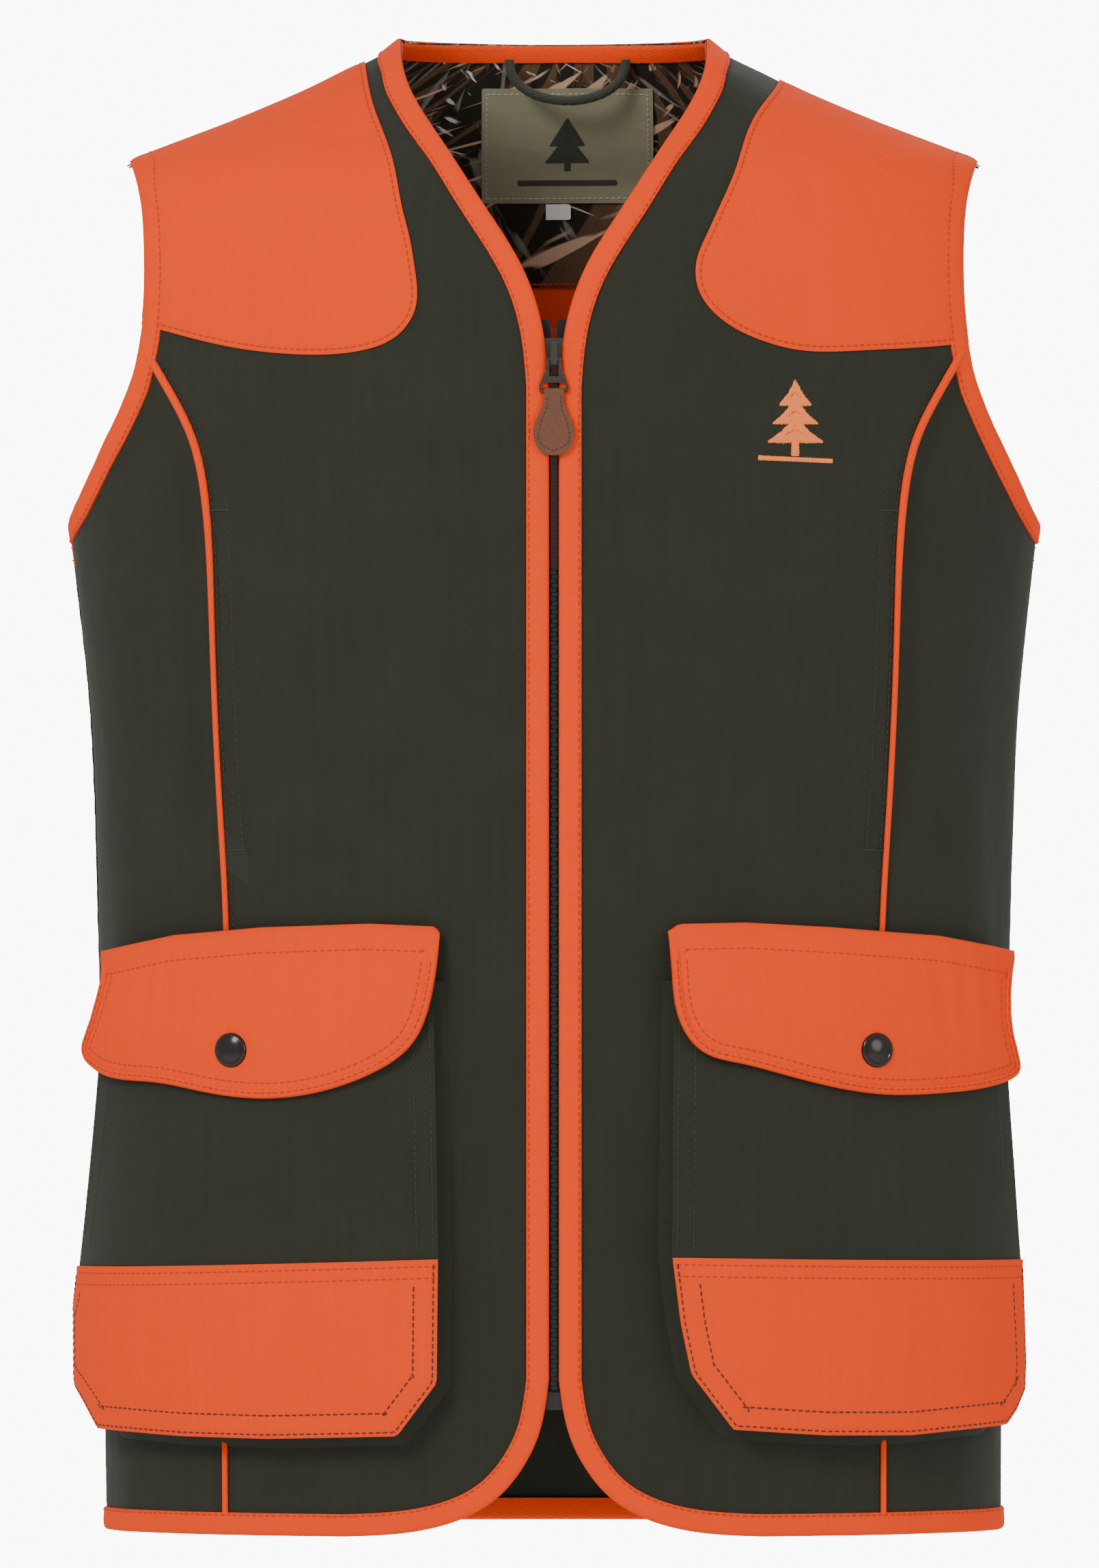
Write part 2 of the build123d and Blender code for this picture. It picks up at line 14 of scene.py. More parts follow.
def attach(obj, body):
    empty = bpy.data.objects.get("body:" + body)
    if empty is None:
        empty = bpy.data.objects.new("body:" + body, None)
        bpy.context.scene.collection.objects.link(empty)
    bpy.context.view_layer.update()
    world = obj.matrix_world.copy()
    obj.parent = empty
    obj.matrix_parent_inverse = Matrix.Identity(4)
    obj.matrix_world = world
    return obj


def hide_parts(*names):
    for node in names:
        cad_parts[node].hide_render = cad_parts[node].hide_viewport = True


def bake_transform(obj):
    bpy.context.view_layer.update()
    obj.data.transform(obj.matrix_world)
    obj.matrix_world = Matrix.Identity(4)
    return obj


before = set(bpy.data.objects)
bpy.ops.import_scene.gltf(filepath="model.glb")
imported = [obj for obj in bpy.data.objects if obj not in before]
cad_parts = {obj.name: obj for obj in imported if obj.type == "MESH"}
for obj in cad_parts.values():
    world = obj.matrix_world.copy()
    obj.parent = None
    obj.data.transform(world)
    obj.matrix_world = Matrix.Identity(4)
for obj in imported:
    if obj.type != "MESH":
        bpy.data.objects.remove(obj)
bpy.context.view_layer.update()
random = np.random.default_rng(14)
HALF_TURN = math.pi
QUARTER = math.pi / 2
FULL_WAVE = 6.28  # one wave of the drape, in radians
MM = 0.001
GIRTH = 150  # millimetres round the body to a radian, near enough, where cloth is laid out flat
GRAIN = 158  # the same for the coordinates that the weave follows

# ---------------------------------------------------------------- the worn shape
# Height, half width, half depth of the ellipses that the vest is worn round.
SECTIONS = np.array([
    (-12, 194.3, 100), (54, 194.9, 100), (120, 195.8, 100), (186, 196.9, 100), (252, 198.1, 100),
    (312, 199.5, 100), (362, 202, 100), (405, 206.6, 100), (445, 210.9, 100), (485, 212.8, 100),
    (525, 211.1, 99.8), (560, 205.5, 96.5), (578, 199, 91), (594.5, 185.5, 81), (602.5, 166.5, 74),
    (611, 144, 68), (620, 122, 63), (628, 104, 59.5), (635, 90, 57), (641, 77.5, 55.5),
    (649, 66.5, 54.5), (668, 60, 54),
], float)


def cubic(xs, ys):
    """The natural cubic spline through points."""
    xs, ys = np.asarray(xs, float), np.asarray(ys, float)
    count, gap = len(xs), np.diff(xs)
    matrix, right = np.eye(count), np.zeros(count)
    for i in range(1, count - 1):
        matrix[i, i - 1 : i + 2] = gap[i - 1], 2 * (gap[i - 1] + gap[i]), gap[i]
        right[i] = 6 * ((ys[i + 1] - ys[i]) / gap[i] - (ys[i] - ys[i - 1]) / gap[i - 1])
    bend = np.linalg.solve(matrix, right)

    def value(at):
        at = np.clip(at, xs[0], xs[-1])
        i = np.clip(np.searchsorted(xs, at) - 1, 0, count - 2)
        after, before, h = at - xs[i], xs[i + 1] - at, gap[i]
        return (
            (bend[i] * before**3 + bend[i + 1] * after**3) / (6 * h)
            + (ys[i] / h - bend[i] * h / 6) * before
            + (ys[i + 1] / h - bend[i + 1] * h / 6) * after
        )

    return value


half_width = cubic(SECTIONS[:, 0], SECTIONS[:, 1])
half_depth = cubic(SECTIONS[:, 0], SECTIONS[:, 2])
levels = np.linspace(-20, 670, 1381)
climb = np.concatenate([[0], np.cumsum(np.hypot(np.diff(levels), 0.8 * np.diff(half_width(levels))))])


def up(z):
    """Length along the cloth from the hem up to height z."""
    return np.interp(z, levels, climb)


def smooth(v):
    v = np.clip(v, 0, 1)
    return v * v * (3 - 2 * v)


princess_points = [
    (182, 522), (168, 498), (156.5, 475), (150.3, 445), (148, 400), (145.6, 335), (142, 268), (141.5, 150),
    (141.5, 0),
]
princess_x = cubic([z for x, z in princess_points[::-1]], [x for x, z in princess_points[::-1]])
waves = [
    (random.uniform(0, FULL_WAVE), random.uniform(-1, 1), size, amount)
    for size, amount in ((150, 0.75), (110, 0.6), (84, 0.5), (61, 0.32), (44, 0.2), (27, 0.07), (19, 0.05))
]


def drape(t, z):
    """How far the worn cloth stands off the ellipses, in soft upright folds.

    They die out at the zip, and nearly so at the neck.
    """
    s = GIRTH * t
    total = np.zeros(np.broadcast(t, z).shape)
    for phase, lean, size, amount in waves:
        along = np.sin(FULL_WAVE * (s + lean * 0.35 * z) / size + phase)
        total = total + amount * along * np.cos(3.14 * z / (5.5 * size) + 2 * phase)
    x = half_width(z) * np.abs(np.sin(t))
    front = np.cos(t) > 0
    calm = np.where(front, smooth((x - 20) / 45), 1) * (1 - 0.8 * smooth((z - 520) / 60))
    beside = x - princess_x(np.clip(z, 0, 522))
    tuck = smooth((z - 285) / 40) * smooth((515 - z) / 50)
    ridge_and_dip = 0.9 * np.exp(-(((beside + 5) / 5) ** 2)) - 2.1 * np.exp(-(((beside - 8) / 5) ** 2))
    return total * calm + np.where(front, tuck * ridge_and_dip, 0)


def base(t, z):
    return np.stack([half_width(z) * np.sin(t), -half_depth(z) * np.cos(t), z + 0 * t], -1)


def slopes(t, z):
    along = (base(t + 1e-3, z) - base(t - 1e-3, z)) / 2e-3
    rising = (base(t, z + 0.2) - base(t, z - 0.2)) / 0.4
    out = np.cross(along, rising)
    return along, rising, out / np.linalg.norm(out, axis=-1, keepdims=True)


def place(t, z, off, stand=None):
    """Points off the cloth by off, and by stand where the piece bulges away from the vest."""
    t, z = np.broadcast_arrays(np.asarray(t, float), np.asarray(z, float))
    lift = off + drape(t, z) * (1 if stand is None else 0.35) + (0 if stand is None else stand(z))
    return base(t, z) + slopes(t, z)[2] * np.asarray(lift)[..., None]


def turned(t, side=1, back=False):
    return HALF_TURN - side * t if back else side * t


# ---------------------------------------------------------------- lines on the cloth, as angle and height
def resample(line, step, closed=False):
    if closed:
        line = np.vstack([line, line[:1]])
    p = base(line[:, 0], line[:, 1])
    run = np.concatenate([[0], np.cumsum(np.linalg.norm(np.diff(p, axis=0), axis=1))])
    at = np.linspace(0, run[-1], max(3, round(run[-1] / step) + 1))
    out = np.stack([np.interp(at, run, line[:, 0]), np.interp(at, run, line[:, 1])], -1)
    return out[:-1] if closed else out


def drawn(points, sharp=False):
    """Dense points of a line through points given as front-view x and height."""
    p = np.asarray(points, float)
    run = np.concatenate([[0], np.cumsum(np.hypot(*np.diff(p, axis=0).T))])
    at = np.union1d(np.linspace(0, run[-1], int(run[-1] / 0.4) + 2), run if sharp else run[[0, -1]])
    if sharp or len(p) == 2:
        return np.stack([np.interp(at, run, p[:, 0]), np.interp(at, run, p[:, 1])], -1)
    return np.stack([cubic(run, p[:, 0])(at), cubic(run, p[:, 1])(at)], -1)


def on_cloth(xz, stand=0):
    off = stand(xz[:, 1]) if callable(stand) else stand
    return np.stack([np.arcsin(np.clip(xz[:, 0] / (half_width(xz[:, 1]) + off), -1, 1)), xz[:, 1]], -1)


def line(points, step=3.0, stand=0, sharp=False):
    return resample(on_cloth(drawn(points, sharp), stand), step)


def joined(*parts):
    return np.vstack([parts[0], *[p[1:] for p in parts[1:]]])


def shift(path, distance, closed=False):
    """path moved to its left over the cloth, as seen from outside on the wearer's left."""
    t, z = path[:, 0], path[:, 1]
    along, rising, out = slopes(t, z)
    if closed:
        dt, dz = np.roll(t, -1) - np.roll(t, 1), np.roll(z, -1) - np.roll(z, 1)
    else:
        dt, dz = np.gradient(t), np.gradient(z)
    tangent = along * dt[:, None] + rising * dz[:, None]
    left = np.cross(out, tangent / np.linalg.norm(tangent, axis=1, keepdims=True)) * distance
    a, b, c = (along * along).sum(1), (along * rising).sum(1), (rising * rising).sum(1)
    e, f = (left * along).sum(1), (left * rising).sum(1)
    det = a * c - b * b
    return np.stack([t + (e * c - f * b) / det, z + (a * f - b * e) / det], -1)


def within(polygon):
    edge = np.roll(polygon, -1, axis=0)

    def test(t, z):
        found = np.zeros(len(t), bool)
        for (x0, y0), (x1, y1) in zip(polygon, edge):
            crosses = (y0 > z) != (y1 > z)
            found ^= crosses & (t < x0 + (z - y0) * (x1 - x0) / ((y1 - y0) or 1e-12))
        return found

    return test


# ---------------------------------------------------------------- materials
def material(name, colour, rough=0.85, metal=0.0, sheen=0.0, build=None, **inputs):
    m = bpy.data.materials.new(name)
    m.use_nodes = True
    shader = m.node_tree.nodes["Principled BSDF"]
    shader.inputs["Base Color"].default_value = (*colour, 1)
    shader.inputs["Roughness"].default_value = rough
    shader.inputs["Metallic"].default_value = metal
    shader.inputs["Sheen Weight"].default_value = sheen
    for key, value in inputs.items():
        shader.inputs[key.replace("_", " ")].default_value = value
    if build:
        build(m.node_tree, shader, colour)
    m.diffuse_color = (*colour, 1)
    return m


def node(tree, kind, links=(), **settings):
    made = tree.nodes.new(kind)
    for key, value in settings.items():
        if hasattr(made, key):
            setattr(made, key, value)
        else:
            made.inputs[key.replace("_", " ")].default_value = value
    for socket, source in dict(links).items():
        tree.links.new(source, made.inputs[socket])
    return made


def mapped(tree, where, **settings):
    return node(tree, "ShaderNodeMapping", {"Vector": where}, **settings).outputs[0]


def noise(tree, where, **settings):
    return node(tree, "ShaderNodeTexNoise", {"Vector": where}, **settings).outputs["Fac"]


def maths(tree, operation, a, b):
    made = tree.nodes.new("ShaderNodeMath")
    made.operation = operation
    for i, v in enumerate((a, b)):
        if isinstance(v, (int, float)):
            made.inputs[i].default_value = v
        else:
            tree.links.new(v, made.inputs[i])
    return made.outputs[0]


def blended(tree, factor, a, b, mode="MIX"):
    made = tree.nodes.new("ShaderNodeMix")
    made.data_type, made.blend_type = "RGBA", mode
    for i, v in ((0, factor), (6, a), (7, b)):
        if isinstance(v, (int, float)):
            made.inputs[i].default_value = v
        elif isinstance(v, tuple):
            made.inputs[i].default_value = (*v, 1)
        else:
            tree.links.new(v, made.inputs[i])
    return made.outputs[2]


def twill(angle=40, pitch=0.00105, depth=0.5, mottle=0.12, light=1.35, dark=0.72, worn=None):
    """Twill: diagonal ribs of a given pitch in metres, yarn slubs, and soft blotches of dye."""

    def build(tree, shader, colour):
        uv = node(tree, "ShaderNodeUVMap").outputs[0]
        lie = mapped(tree, uv, Rotation=(0, 0, math.radians(angle)))
        rib = node(
            tree, "ShaderNodeTexWave", {"Vector": lie}, Scale=0.3142 / pitch, Distortion=0.6, Detail=1.0,
            Detail_Scale=2.0,
        ).outputs["Fac"]
        cross = mapped(tree, uv, Scale=(2600, 500, 1))
        yarn = noise(tree, cross, Scale=1.0, Detail=2.0)
        streak = mapped(tree, uv, Scale=(420, 14, 1))
        slub = noise(tree, streak, Scale=1.0, Detail=3.0)
        blotch = noise(tree, uv, Scale=26.0, Detail=4.0, Roughness=0.6)
        weave = maths(tree, "ADD", maths(tree, "MULTIPLY", rib, 0.6), maths(tree, "MULTIPLY", yarn, 0.4))
        patchy = maths(
            tree, "ADD", maths(tree, "MULTIPLY", slub, 0.25), maths(tree, "MULTIPLY", blotch, mottle * 2),
        )
        tone = maths(tree, "ADD", maths(tree, "MULTIPLY", weave, 0.55), patchy)
        tone = maths(tree, "SUBTRACT", tone, 0.1 + mottle)
        low = tuple(c * dark for c in colour)
        high = tuple(min(1.0, c * light + 0.004) for c in (worn or colour))
        tree.links.new(blended(tree, tone, low, high), shader.inputs["Base Color"])
        bump = node(tree, "ShaderNodeBump", {"Height": weave}, Strength=depth, Distance=0.00025)
        crease = noise(tree, uv, Scale=60.0, Detail=3.0)
        swell = node(
            tree, "ShaderNodeBump", {"Height": crease, "Normal": bump.outputs[0]}, Strength=0.32,
            Distance=0.002,
        )
        tree.links.new(swell.outputs[0], shader.inputs["Normal"])

    return build


def camouflage(tree, shader, colour):
    """Printed reeds: long pale and brown blades over near black, under a brushed nap."""
    uv = node(tree, "ShaderNodeUVMap").outputs[0]
    shade = None
    for lean, size, ink, cut, seed in (
        (68, 9.0, (0.10, 0.055, 0.03), 0.56, 1.0), (112, 13.0, (0.17, 0.16, 0.13), 0.63, 4.0),
        (35, 11.0, (0.52, 0.33, 0.22), 0.615, 7.0), (150, 16.0, (0.60, 0.57, 0.52), 0.665, 11.0),
    ):
        lie = mapped(tree, uv, Rotation=(0, 0, math.radians(lean)), Location=(seed, seed * 0.7, 0))
        bent = mapped(tree, lie, Scale=(1, 7.5, 1))
        blade = noise(tree, bent, Scale=size * 1.5, Detail=3.0, Roughness=0.45, Distortion=0.5)
        ramp = node(tree, "ShaderNodeValToRGB", {"Fac": blade})
        ramp.color_ramp.elements[0].position, ramp.color_ramp.elements[1].position = cut - 0.02, cut + 0.025
        shade = blended(tree, ramp.outputs["Color"], shade if shade is not None else colour, ink)
    nap = noise(tree, mapped(tree, uv, Scale=(1500, 420, 1)), Scale=1.0, Detail=2.0)
    shade = blended(tree, 0.35, shade, blended(tree, nap, (0.0, 0.0, 0.0), (1.0, 1.0, 1.0)), "SOFT_LIGHT")
    tree.links.new(shade, shader.inputs["Base Color"])
    tree.links.new(
        node(tree, "ShaderNodeBump", {"Height": nap}, Strength=0.5, Distance=0.0003).outputs[0],
        shader.inputs["Normal"],
    )


def grained(scale, depth, vary=0.25, distance=0.0004, stretch=(1, 1, 1)):
    """A skin of small irregular cells and blotches, for leather and worn metal."""

    def build(tree, shader, colour):
        where = mapped(tree, node(tree, "ShaderNodeTexCoord").outputs["Object"], Scale=stretch)
        cells = node(tree, "ShaderNodeTexVoronoi", {"Vector": where}, Scale=scale).outputs["Distance"]
        soft = noise(tree, where, Scale=scale * 0.25, Detail=5.0)
        tone = maths(tree, "ADD", maths(tree, "MULTIPLY", cells, 0.4), maths(tree, "MULTIPLY", soft, 0.8))
        tree.links.new(
            blended(
                tree, tone, tuple(c * (1 - vary) for c in colour),
                tuple(min(1, c * (1 + vary)) for c in colour),
            ),
            shader.inputs["Base Color"],
        )
        tree.links.new(
            node(tree, "ShaderNodeBump", {"Height": tone}, Strength=depth, Distance=distance).outputs[0],
            shader.inputs["Normal"],
        )

    return build


ORANGE, OLIVE = (0.88, 0.050, 0.0004), (0.0215, 0.0228, 0.0135)
cloth_orange = material(
    "orange_twill", ORANGE, 0.9, sheen=0.0,
    build=twill(42, depth=0.45, mottle=0.05, light=1.1, dark=0.84, worn=(0.93, 0.066, 0.0008)),
    Specular_IOR_Level=0.15,
)
bias_orange = material(
    "orange_binding", ORANGE, 0.9, sheen=0.0,
    build=twill(78, depth=0.45, mottle=0.05, light=1.08, dark=0.86, worn=(0.93, 0.063, 0.0008)),
    Specular_IOR_Level=0.15,
)
cloth_olive = material(
    "olive_twill", OLIVE, 0.88, sheen=0.06, build=twill(42, depth=0.6, mottle=0.16, light=1.5, dark=0.62),
    Specular_IOR_Level=0.22,
)
bag_cloth = material(
    "pocketing", (0.030, 0.033, 0.023), 0.9, build=twill(0, depth=0.3), Specular_IOR_Level=0.2,
)
lining = material("camo_lining", (0.018, 0.015, 0.010), 0.92, build=camouflage, Specular_IOR_Level=0.15)
satin = material(
    "label_satin", (0.27, 0.262, 0.165), 0.5, build=twill(0, 0.0007, 0.35, 0.04, 1.15, 0.85),
    Specular_IOR_Level=0.35,
)
white_satin = material("tag_satin", (0.82, 0.82, 0.80), 0.5, build=twill(0, 0.0006, 0.3, 0.02, 1.0, 0.9))
cord_cloth = material("loop_cord", (0.030, 0.034, 0.022), 0.85, sheen=0.1, build=twill(30, 0.0008, 0.5))
tape_cloth = material("zip_tape", (0.010, 0.009, 0.009), 0.85, build=twill(62, 0.0009, 0.6))
# Orange stitching is darker than the orange cloth it sews: painted shade for the dips the stitches sink into. The
# thread itself is the same orange as the cloth.
shaded_stitch_orange = material("orange_thread", (0.52, 0.026, 0.0004), 0.6, Specular_IOR_Level=0.3)
thread_dark = material("dark_thread", (0.045, 0.012, 0.006), 0.6)
thread_olive = material("olive_thread", (0.016, 0.017, 0.011), 0.6)
thread_pale = material("pale_thread", (0.42, 0.41, 0.30), 0.6)
embroidery = material("embroidery", (0.93, 0.215, 0.042), 0.45, Specular_IOR_Level=0.4)
ink_olive = material("label_ink", (0.035, 0.04, 0.025), 0.7)
dark_metal = material(
    "snap_metal", (0.030, 0.027, 0.025), 0.22, 1.0, build=grained(900, 0.12, 0.3, 0.0001), Coat_Weight=0.3,
    Coat_Roughness=0.12,
)
zip_metal = material("zip_metal", (0.075, 0.066, 0.060), 0.30, 1.0, build=grained(700, 0.2, 0.45, 0.0001))
moulded = material("zip_plastic", (0.014, 0.011, 0.009), 0.32)
leather = material(
    "pull_leather", (0.115, 0.040, 0.020), 0.62, build=grained(1500, 0.5, 0.35), Specular_IOR_Level=0.35,
)


# ---------------------------------------------------------------- making pieces
def make(name, points, faces, mat, body, nodes=(), uv=None, crisp=38):
    """A mesh in the row frame, from millimetres, riding on a body and standing for CAD nodes."""
    mesh = bpy.data.meshes.new(name)
    mesh.from_pydata((np.asarray(points, float) * MM).tolist(), [], [tuple(int(i) for i in f) for f in faces])
    mesh.update()
    mesh.shade_smooth()
    mesh.set_sharp_from_angle(angle=math.radians(crisp))
    if uv is not None:
        layer = mesh.uv_layers.new(name="UVMap")
        corners = np.zeros(len(mesh.loops), int)
        mesh.loops.foreach_get("vertex_index", corners)
        layer.data.foreach_set("uv", (np.asarray(uv, float)[corners] * MM).ravel())
    mesh.materials.append(mat)
    made = bpy.data.objects.new(name, mesh)
    bpy.context.scene.collection.objects.link(made)
    if body:
        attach(made, body)
    if nodes:
        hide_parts(*nodes)
    return made


def cloth(
    name, mat, body, nodes, keep, lines, lower, upper, side=1, back=False, stand=None, step=5.0, rise=None,
    tuck=0.3,
):
    """A ply of cloth over the region that keep allows, with vertices along lines.

    Its edge is rolled down by tuck.
    """
    at, edges = [], []
    for path in lines:
        first = len(at)
        at += [(GIRTH * t, up(z)) for t, z in path]
        edges += [(i, i + 1) for i in range(first, len(at) - 1)]
    tree = kdtree.KDTree(len(at))
    for i, (x, y) in enumerate(at):
        tree.insert((x, y, 0), i)
    tree.balance()
    box = np.array(at)
    (x0, y0), (x1, y1) = box.min(0), box.max(0)
    for row, y in enumerate(np.arange(y0 + step * 0.5, y1, step * 0.866)):
        for x in np.arange(x0 + step * (0.25 + 0.5 * (row % 2)), x1, step):
            if tree.find((x, y, 0))[2] > 0.45 * step:
                at.append((x, y))
    flat, _, faces = delaunay_2d_cdt([Vector(p) for p in at], edges, [], 0, 1e-4)[:3]
    flat = np.array([tuple(p) for p in flat])
    faces = np.array(faces)
    t, z = flat[:, 0] / GIRTH, np.interp(flat[:, 1], climb, levels)
    middle = flat[faces].mean(1)
    faces = faces[keep(middle[:, 0] / GIRTH, np.interp(middle[:, 1], climb, levels))]
    used = np.unique(faces)
    fresh = np.full(len(flat), -1)
    fresh[used] = np.arange(len(used))
    faces, flat, t, z = fresh[faces], flat[used], t[used], z[used]
    count = len(used)
    loops = {}
    for a, b, c in faces:
        for e in ((a, b), (b, c), (c, a)):
            loops[e] = 1
    rim = [e for e in loops if (e[1], e[0]) not in loops]
    edge = np.zeros(count, bool)
    edge[np.array(rim).ravel()] = True
    lift = np.zeros(count) if rise is None else rise(t, z)
    turn = turned(t, side, back)
    top = place(turn, z, upper + lift - tuck * edge, stand)
    bottom = place(turn, z, lower + lift * (upper > 0.7), stand)
    quads = [(a + count, b + count, b, a) for a, b in rim]
    solid = [tuple(f) for f in faces] + [(a + count, c + count, b + count) for a, b, c in faces] + quads
    if (side < 0) != back:
        solid = [f[::-1] for f in solid]
    uv = np.stack([turn * GRAIN, up(z)], -1)
    return make(name, np.vstack([top, bottom]), solid, mat, body, nodes, np.vstack([uv, uv]))


def sweep(rows, closed_rows=True, closed_path=False, caps=True):
    """Faces of a tube whose rings of points are rows."""
    count, around = len(rows), len(rows[0])
    faces = []
    for i in range(count if closed_path else count - 1):
        j = (i + 1) % count
        for k in range(around if closed_rows else around - 1):
            m = (k + 1) % around
            faces.append((i * around + k, i * around + m, j * around + m, j * around + k))
    if caps and closed_rows and not closed_path:
        faces += [tuple(range(around))[::-1], tuple((count - 1) * around + k for k in range(around))]
    return faces


def band(name, mat, body, nodes, path, profile, side=1, back=False, stand=None, closed=False, ripple=0.12):
    """A folded strip along path, its section given as distance in from the edge and height off the cloth."""
    run = np.arange(len(path))
    wave = ripple * (np.sin(run * 1.7) + np.sin(run * 0.73 + 1)) / 2
    rows = []
    for inward, off in profile:
        moved = shift(path, inward, closed) if abs(inward) > 1e-6 else path
        rows.append(place(turned(moved[:, 0], side, back), moved[:, 1], off + wave * (off > 1), stand))
    points = np.stack(rows, 1)
    faces = sweep(points, True, closed)
    if (side < 0) == back:
        faces = [f[::-1] for f in faces]
    around = np.array([p[0] for p in profile]) + 0.6 * np.array([p[1] for p in profile])
    uv = np.stack(np.broadcast_arrays(run[:, None] * 3.0, around[None, :]), -1)
    return make(name, points.reshape(-1, 3), faces, mat, body, nodes, uv.reshape(-1, 2), 60)


# One stitch, fat in the middle: rings of five points, as place along it and radius.
STITCH_RINGS = ((-0.5, 0.35), (-0.36, 0.95), (0, 1.05), (0.36, 0.95), (0.5, 0.35))
STITCH = np.array([(p, r * math.cos(a), r * math.sin(a)) for p, r in STITCH_RINGS for a in np.arange(5) * 1.2566])
STITCH_FACES = sweep(STITCH.reshape(5, 5, 3))


def sewn(rows, pitch=3.1, length=2.3, thick=0.34):
    """Stitches along rows of points and outward normals: the vertices and faces of them all."""
    points, faces, total = [], [], 0
    for p, n in rows:
        run = np.concatenate([[0], np.cumsum(np.linalg.norm(np.diff(p, axis=0), axis=1))])
        at = np.arange(pitch / 2, run[-1], pitch)
        if not len(at):
            continue
        look = lambda v, s: np.stack([np.interp(s, run, v[:, i]) for i in range(3)], -1)
        centre, out = look(p, at), look(n, at)
        ahead = look(p, at + 0.6) - look(p, at - 0.6)
        ahead /= np.linalg.norm(ahead, axis=1, keepdims=True) + 1e-9
        across = np.cross(out, ahead)
        yaw = random.normal(0, 0.05, len(at))[:, None]
        ahead, across = ahead + across * yaw, across - ahead * yaw
        size = length * (1 + random.normal(0, 0.05, len(at)))
        body = (
            centre[:, None]
            + ahead[:, None] * (STITCH[None, :, :1] * size[:, None, None])
            + across[:, None] * STITCH[None, :, 1:2] * thick
            + out[:, None]
            * (STITCH[None, :, 2:] * thick * 0.8 - 1.3 * thick * np.abs(STITCH[None, :, :1]) ** 2)
        )
        for i in range(len(at)):
            faces += [tuple(v + total for v in f) for f in STITCH_FACES]
            total += len(STITCH)
        points.append(body.reshape(-1, 3))
    return np.vstack(points), faces


def row(path, off, side=1, back=False, stand=None):
    t = turned(path[:, 0], side, back)
    off = off(path[:, 0], path[:, 1]) if callable(off) else off
    return place(t, path[:, 1], off, stand), slopes(t, path[:, 1])[2] * (1 if np.mean(off) > -0.5 else -1)


def stitches(name, mat, body, rows, **sizes):
    points, faces = sewn(rows, **sizes)
    return make(name, points, faces, mat, body, crisp=80)


def tube(name, mat, body, nodes, centres, normals, radius, flat=1.0, sides=12, twist=0.0, rib=0.0, ribs=3):
    """A round cord along centres."""
    ahead = np.gradient(centres, axis=0)
    ahead /= np.linalg.norm(ahead, axis=1, keepdims=True)
    across = np.cross(normals, ahead)
    across /= np.linalg.norm(across, axis=1, keepdims=True)
    upward = np.cross(ahead, across)
    run = np.concatenate([[0], np.cumsum(np.linalg.norm(np.diff(centres, axis=0), axis=1))])
    angle = np.arange(sides) * 2 * HALF_TURN / sides
    size = radius * (1 + rib * np.cos(ribs * angle[None, :] + twist * run[:, None]))
    sideways = across[:, None] * (size * np.cos(angle))[..., None]
    over = upward[:, None] * (size * np.sin(angle) * flat)[..., None]
    points = centres[:, None] + sideways + over
    uv = np.stack(np.broadcast_arrays(run[:, None], angle[None, :] * radius), -1)
    return make(
        name, points.reshape(-1, 3), [f[::-1] for f in sweep(points)], mat, body, nodes, uv.reshape(-1, 2),
        80,
    )


def lathe(name, mat, body, nodes, profile, centre, axis, sides=40):
    """A turned piece: radius and height above centre along axis."""
    axis = np.asarray(axis, float) / np.linalg.norm(axis)
    first = np.cross(axis, (0, 0, 1.0))
    first /= np.linalg.norm(first)
    second = np.cross(axis, first)
    angle = np.arange(sides) * 2 * HALF_TURN / sides
    points = [
        centre + r * (np.cos(a) * first + np.sin(a) * second) + h * axis
        for r, h in profile
        for a in angle
    ]
    faces = sweep(np.reshape(points, (len(profile), sides, 3)))
    return make(name, points, faces, mat, body, nodes, None, 40)


# ---------------------------------------------------------------- edges of the vest, on the wearer's left
neck = line([(66.5, 649.5), (66.3, 641), (49.7, 605), (29, 573), (13, 546.5), (4.6, 520), (2.1, 496)], 2.5)
straight = line([(2.1, 496), (2.1, 68)], 4)
corner = line([(2.1, 68), (7, 43), (13.5, 30), (24.5, 17), (52, 4), (90, 0)], 2.5)
side_seam = QUARTER - 0.0005
hem = resample(np.array([corner[-1], (side_seam, 0)]), 3)
front_edge = joined(neck, straight, corner, hem)
arm = drawn([
    (194, 612), (181, 587), (177.2, 560), (177.6, 530), (184, 497), (197.5, 467), (213, 434), (222, 418),
])
arm = arm[arm[:, 0] < half_width(arm[:, 1]) - 0.02]
top_of_arm, foot_of_arm = arm[0, 1] + 0.2, arm[-1, 1] - 0.2
arm = resample(np.vstack([[(side_seam, top_of_arm)], on_cloth(arm), [(side_seam, foot_of_arm)]]), 2.6)
arm_loop = resample(
    np.vstack([arm, np.stack([HALF_TURN - arm[::-1, 0], arm[::-1, 1]], -1)[1:-1]]), 2.6, closed=True,
)
ridge = np.array([(QUARTER - 0.045, z) for z in np.linspace(top_of_arm, 649.5, 26)])
behind = np.stack([HALF_TURN - ridge[:, 0], ridge[:, 1]], -1)
outer = np.array([(side_seam, z) for z in np.linspace(0, foot_of_arm, 110)])
front_region = within(np.vstack([front_edge, outer[1:], arm[::-1][1:], ridge[1:]]))
arm_region = within(np.vstack([arm, [(2.2, foot_of_arm), (2.2, top_of_arm)]]))
princess = line(princess_points, 3)
princess_region = within(np.vstack([princess, [(-1, 0), (-1, 700), (2.2, 700), (2.2, princess[0, 1])]]))
border = [front_edge, outer, arm, ridge]

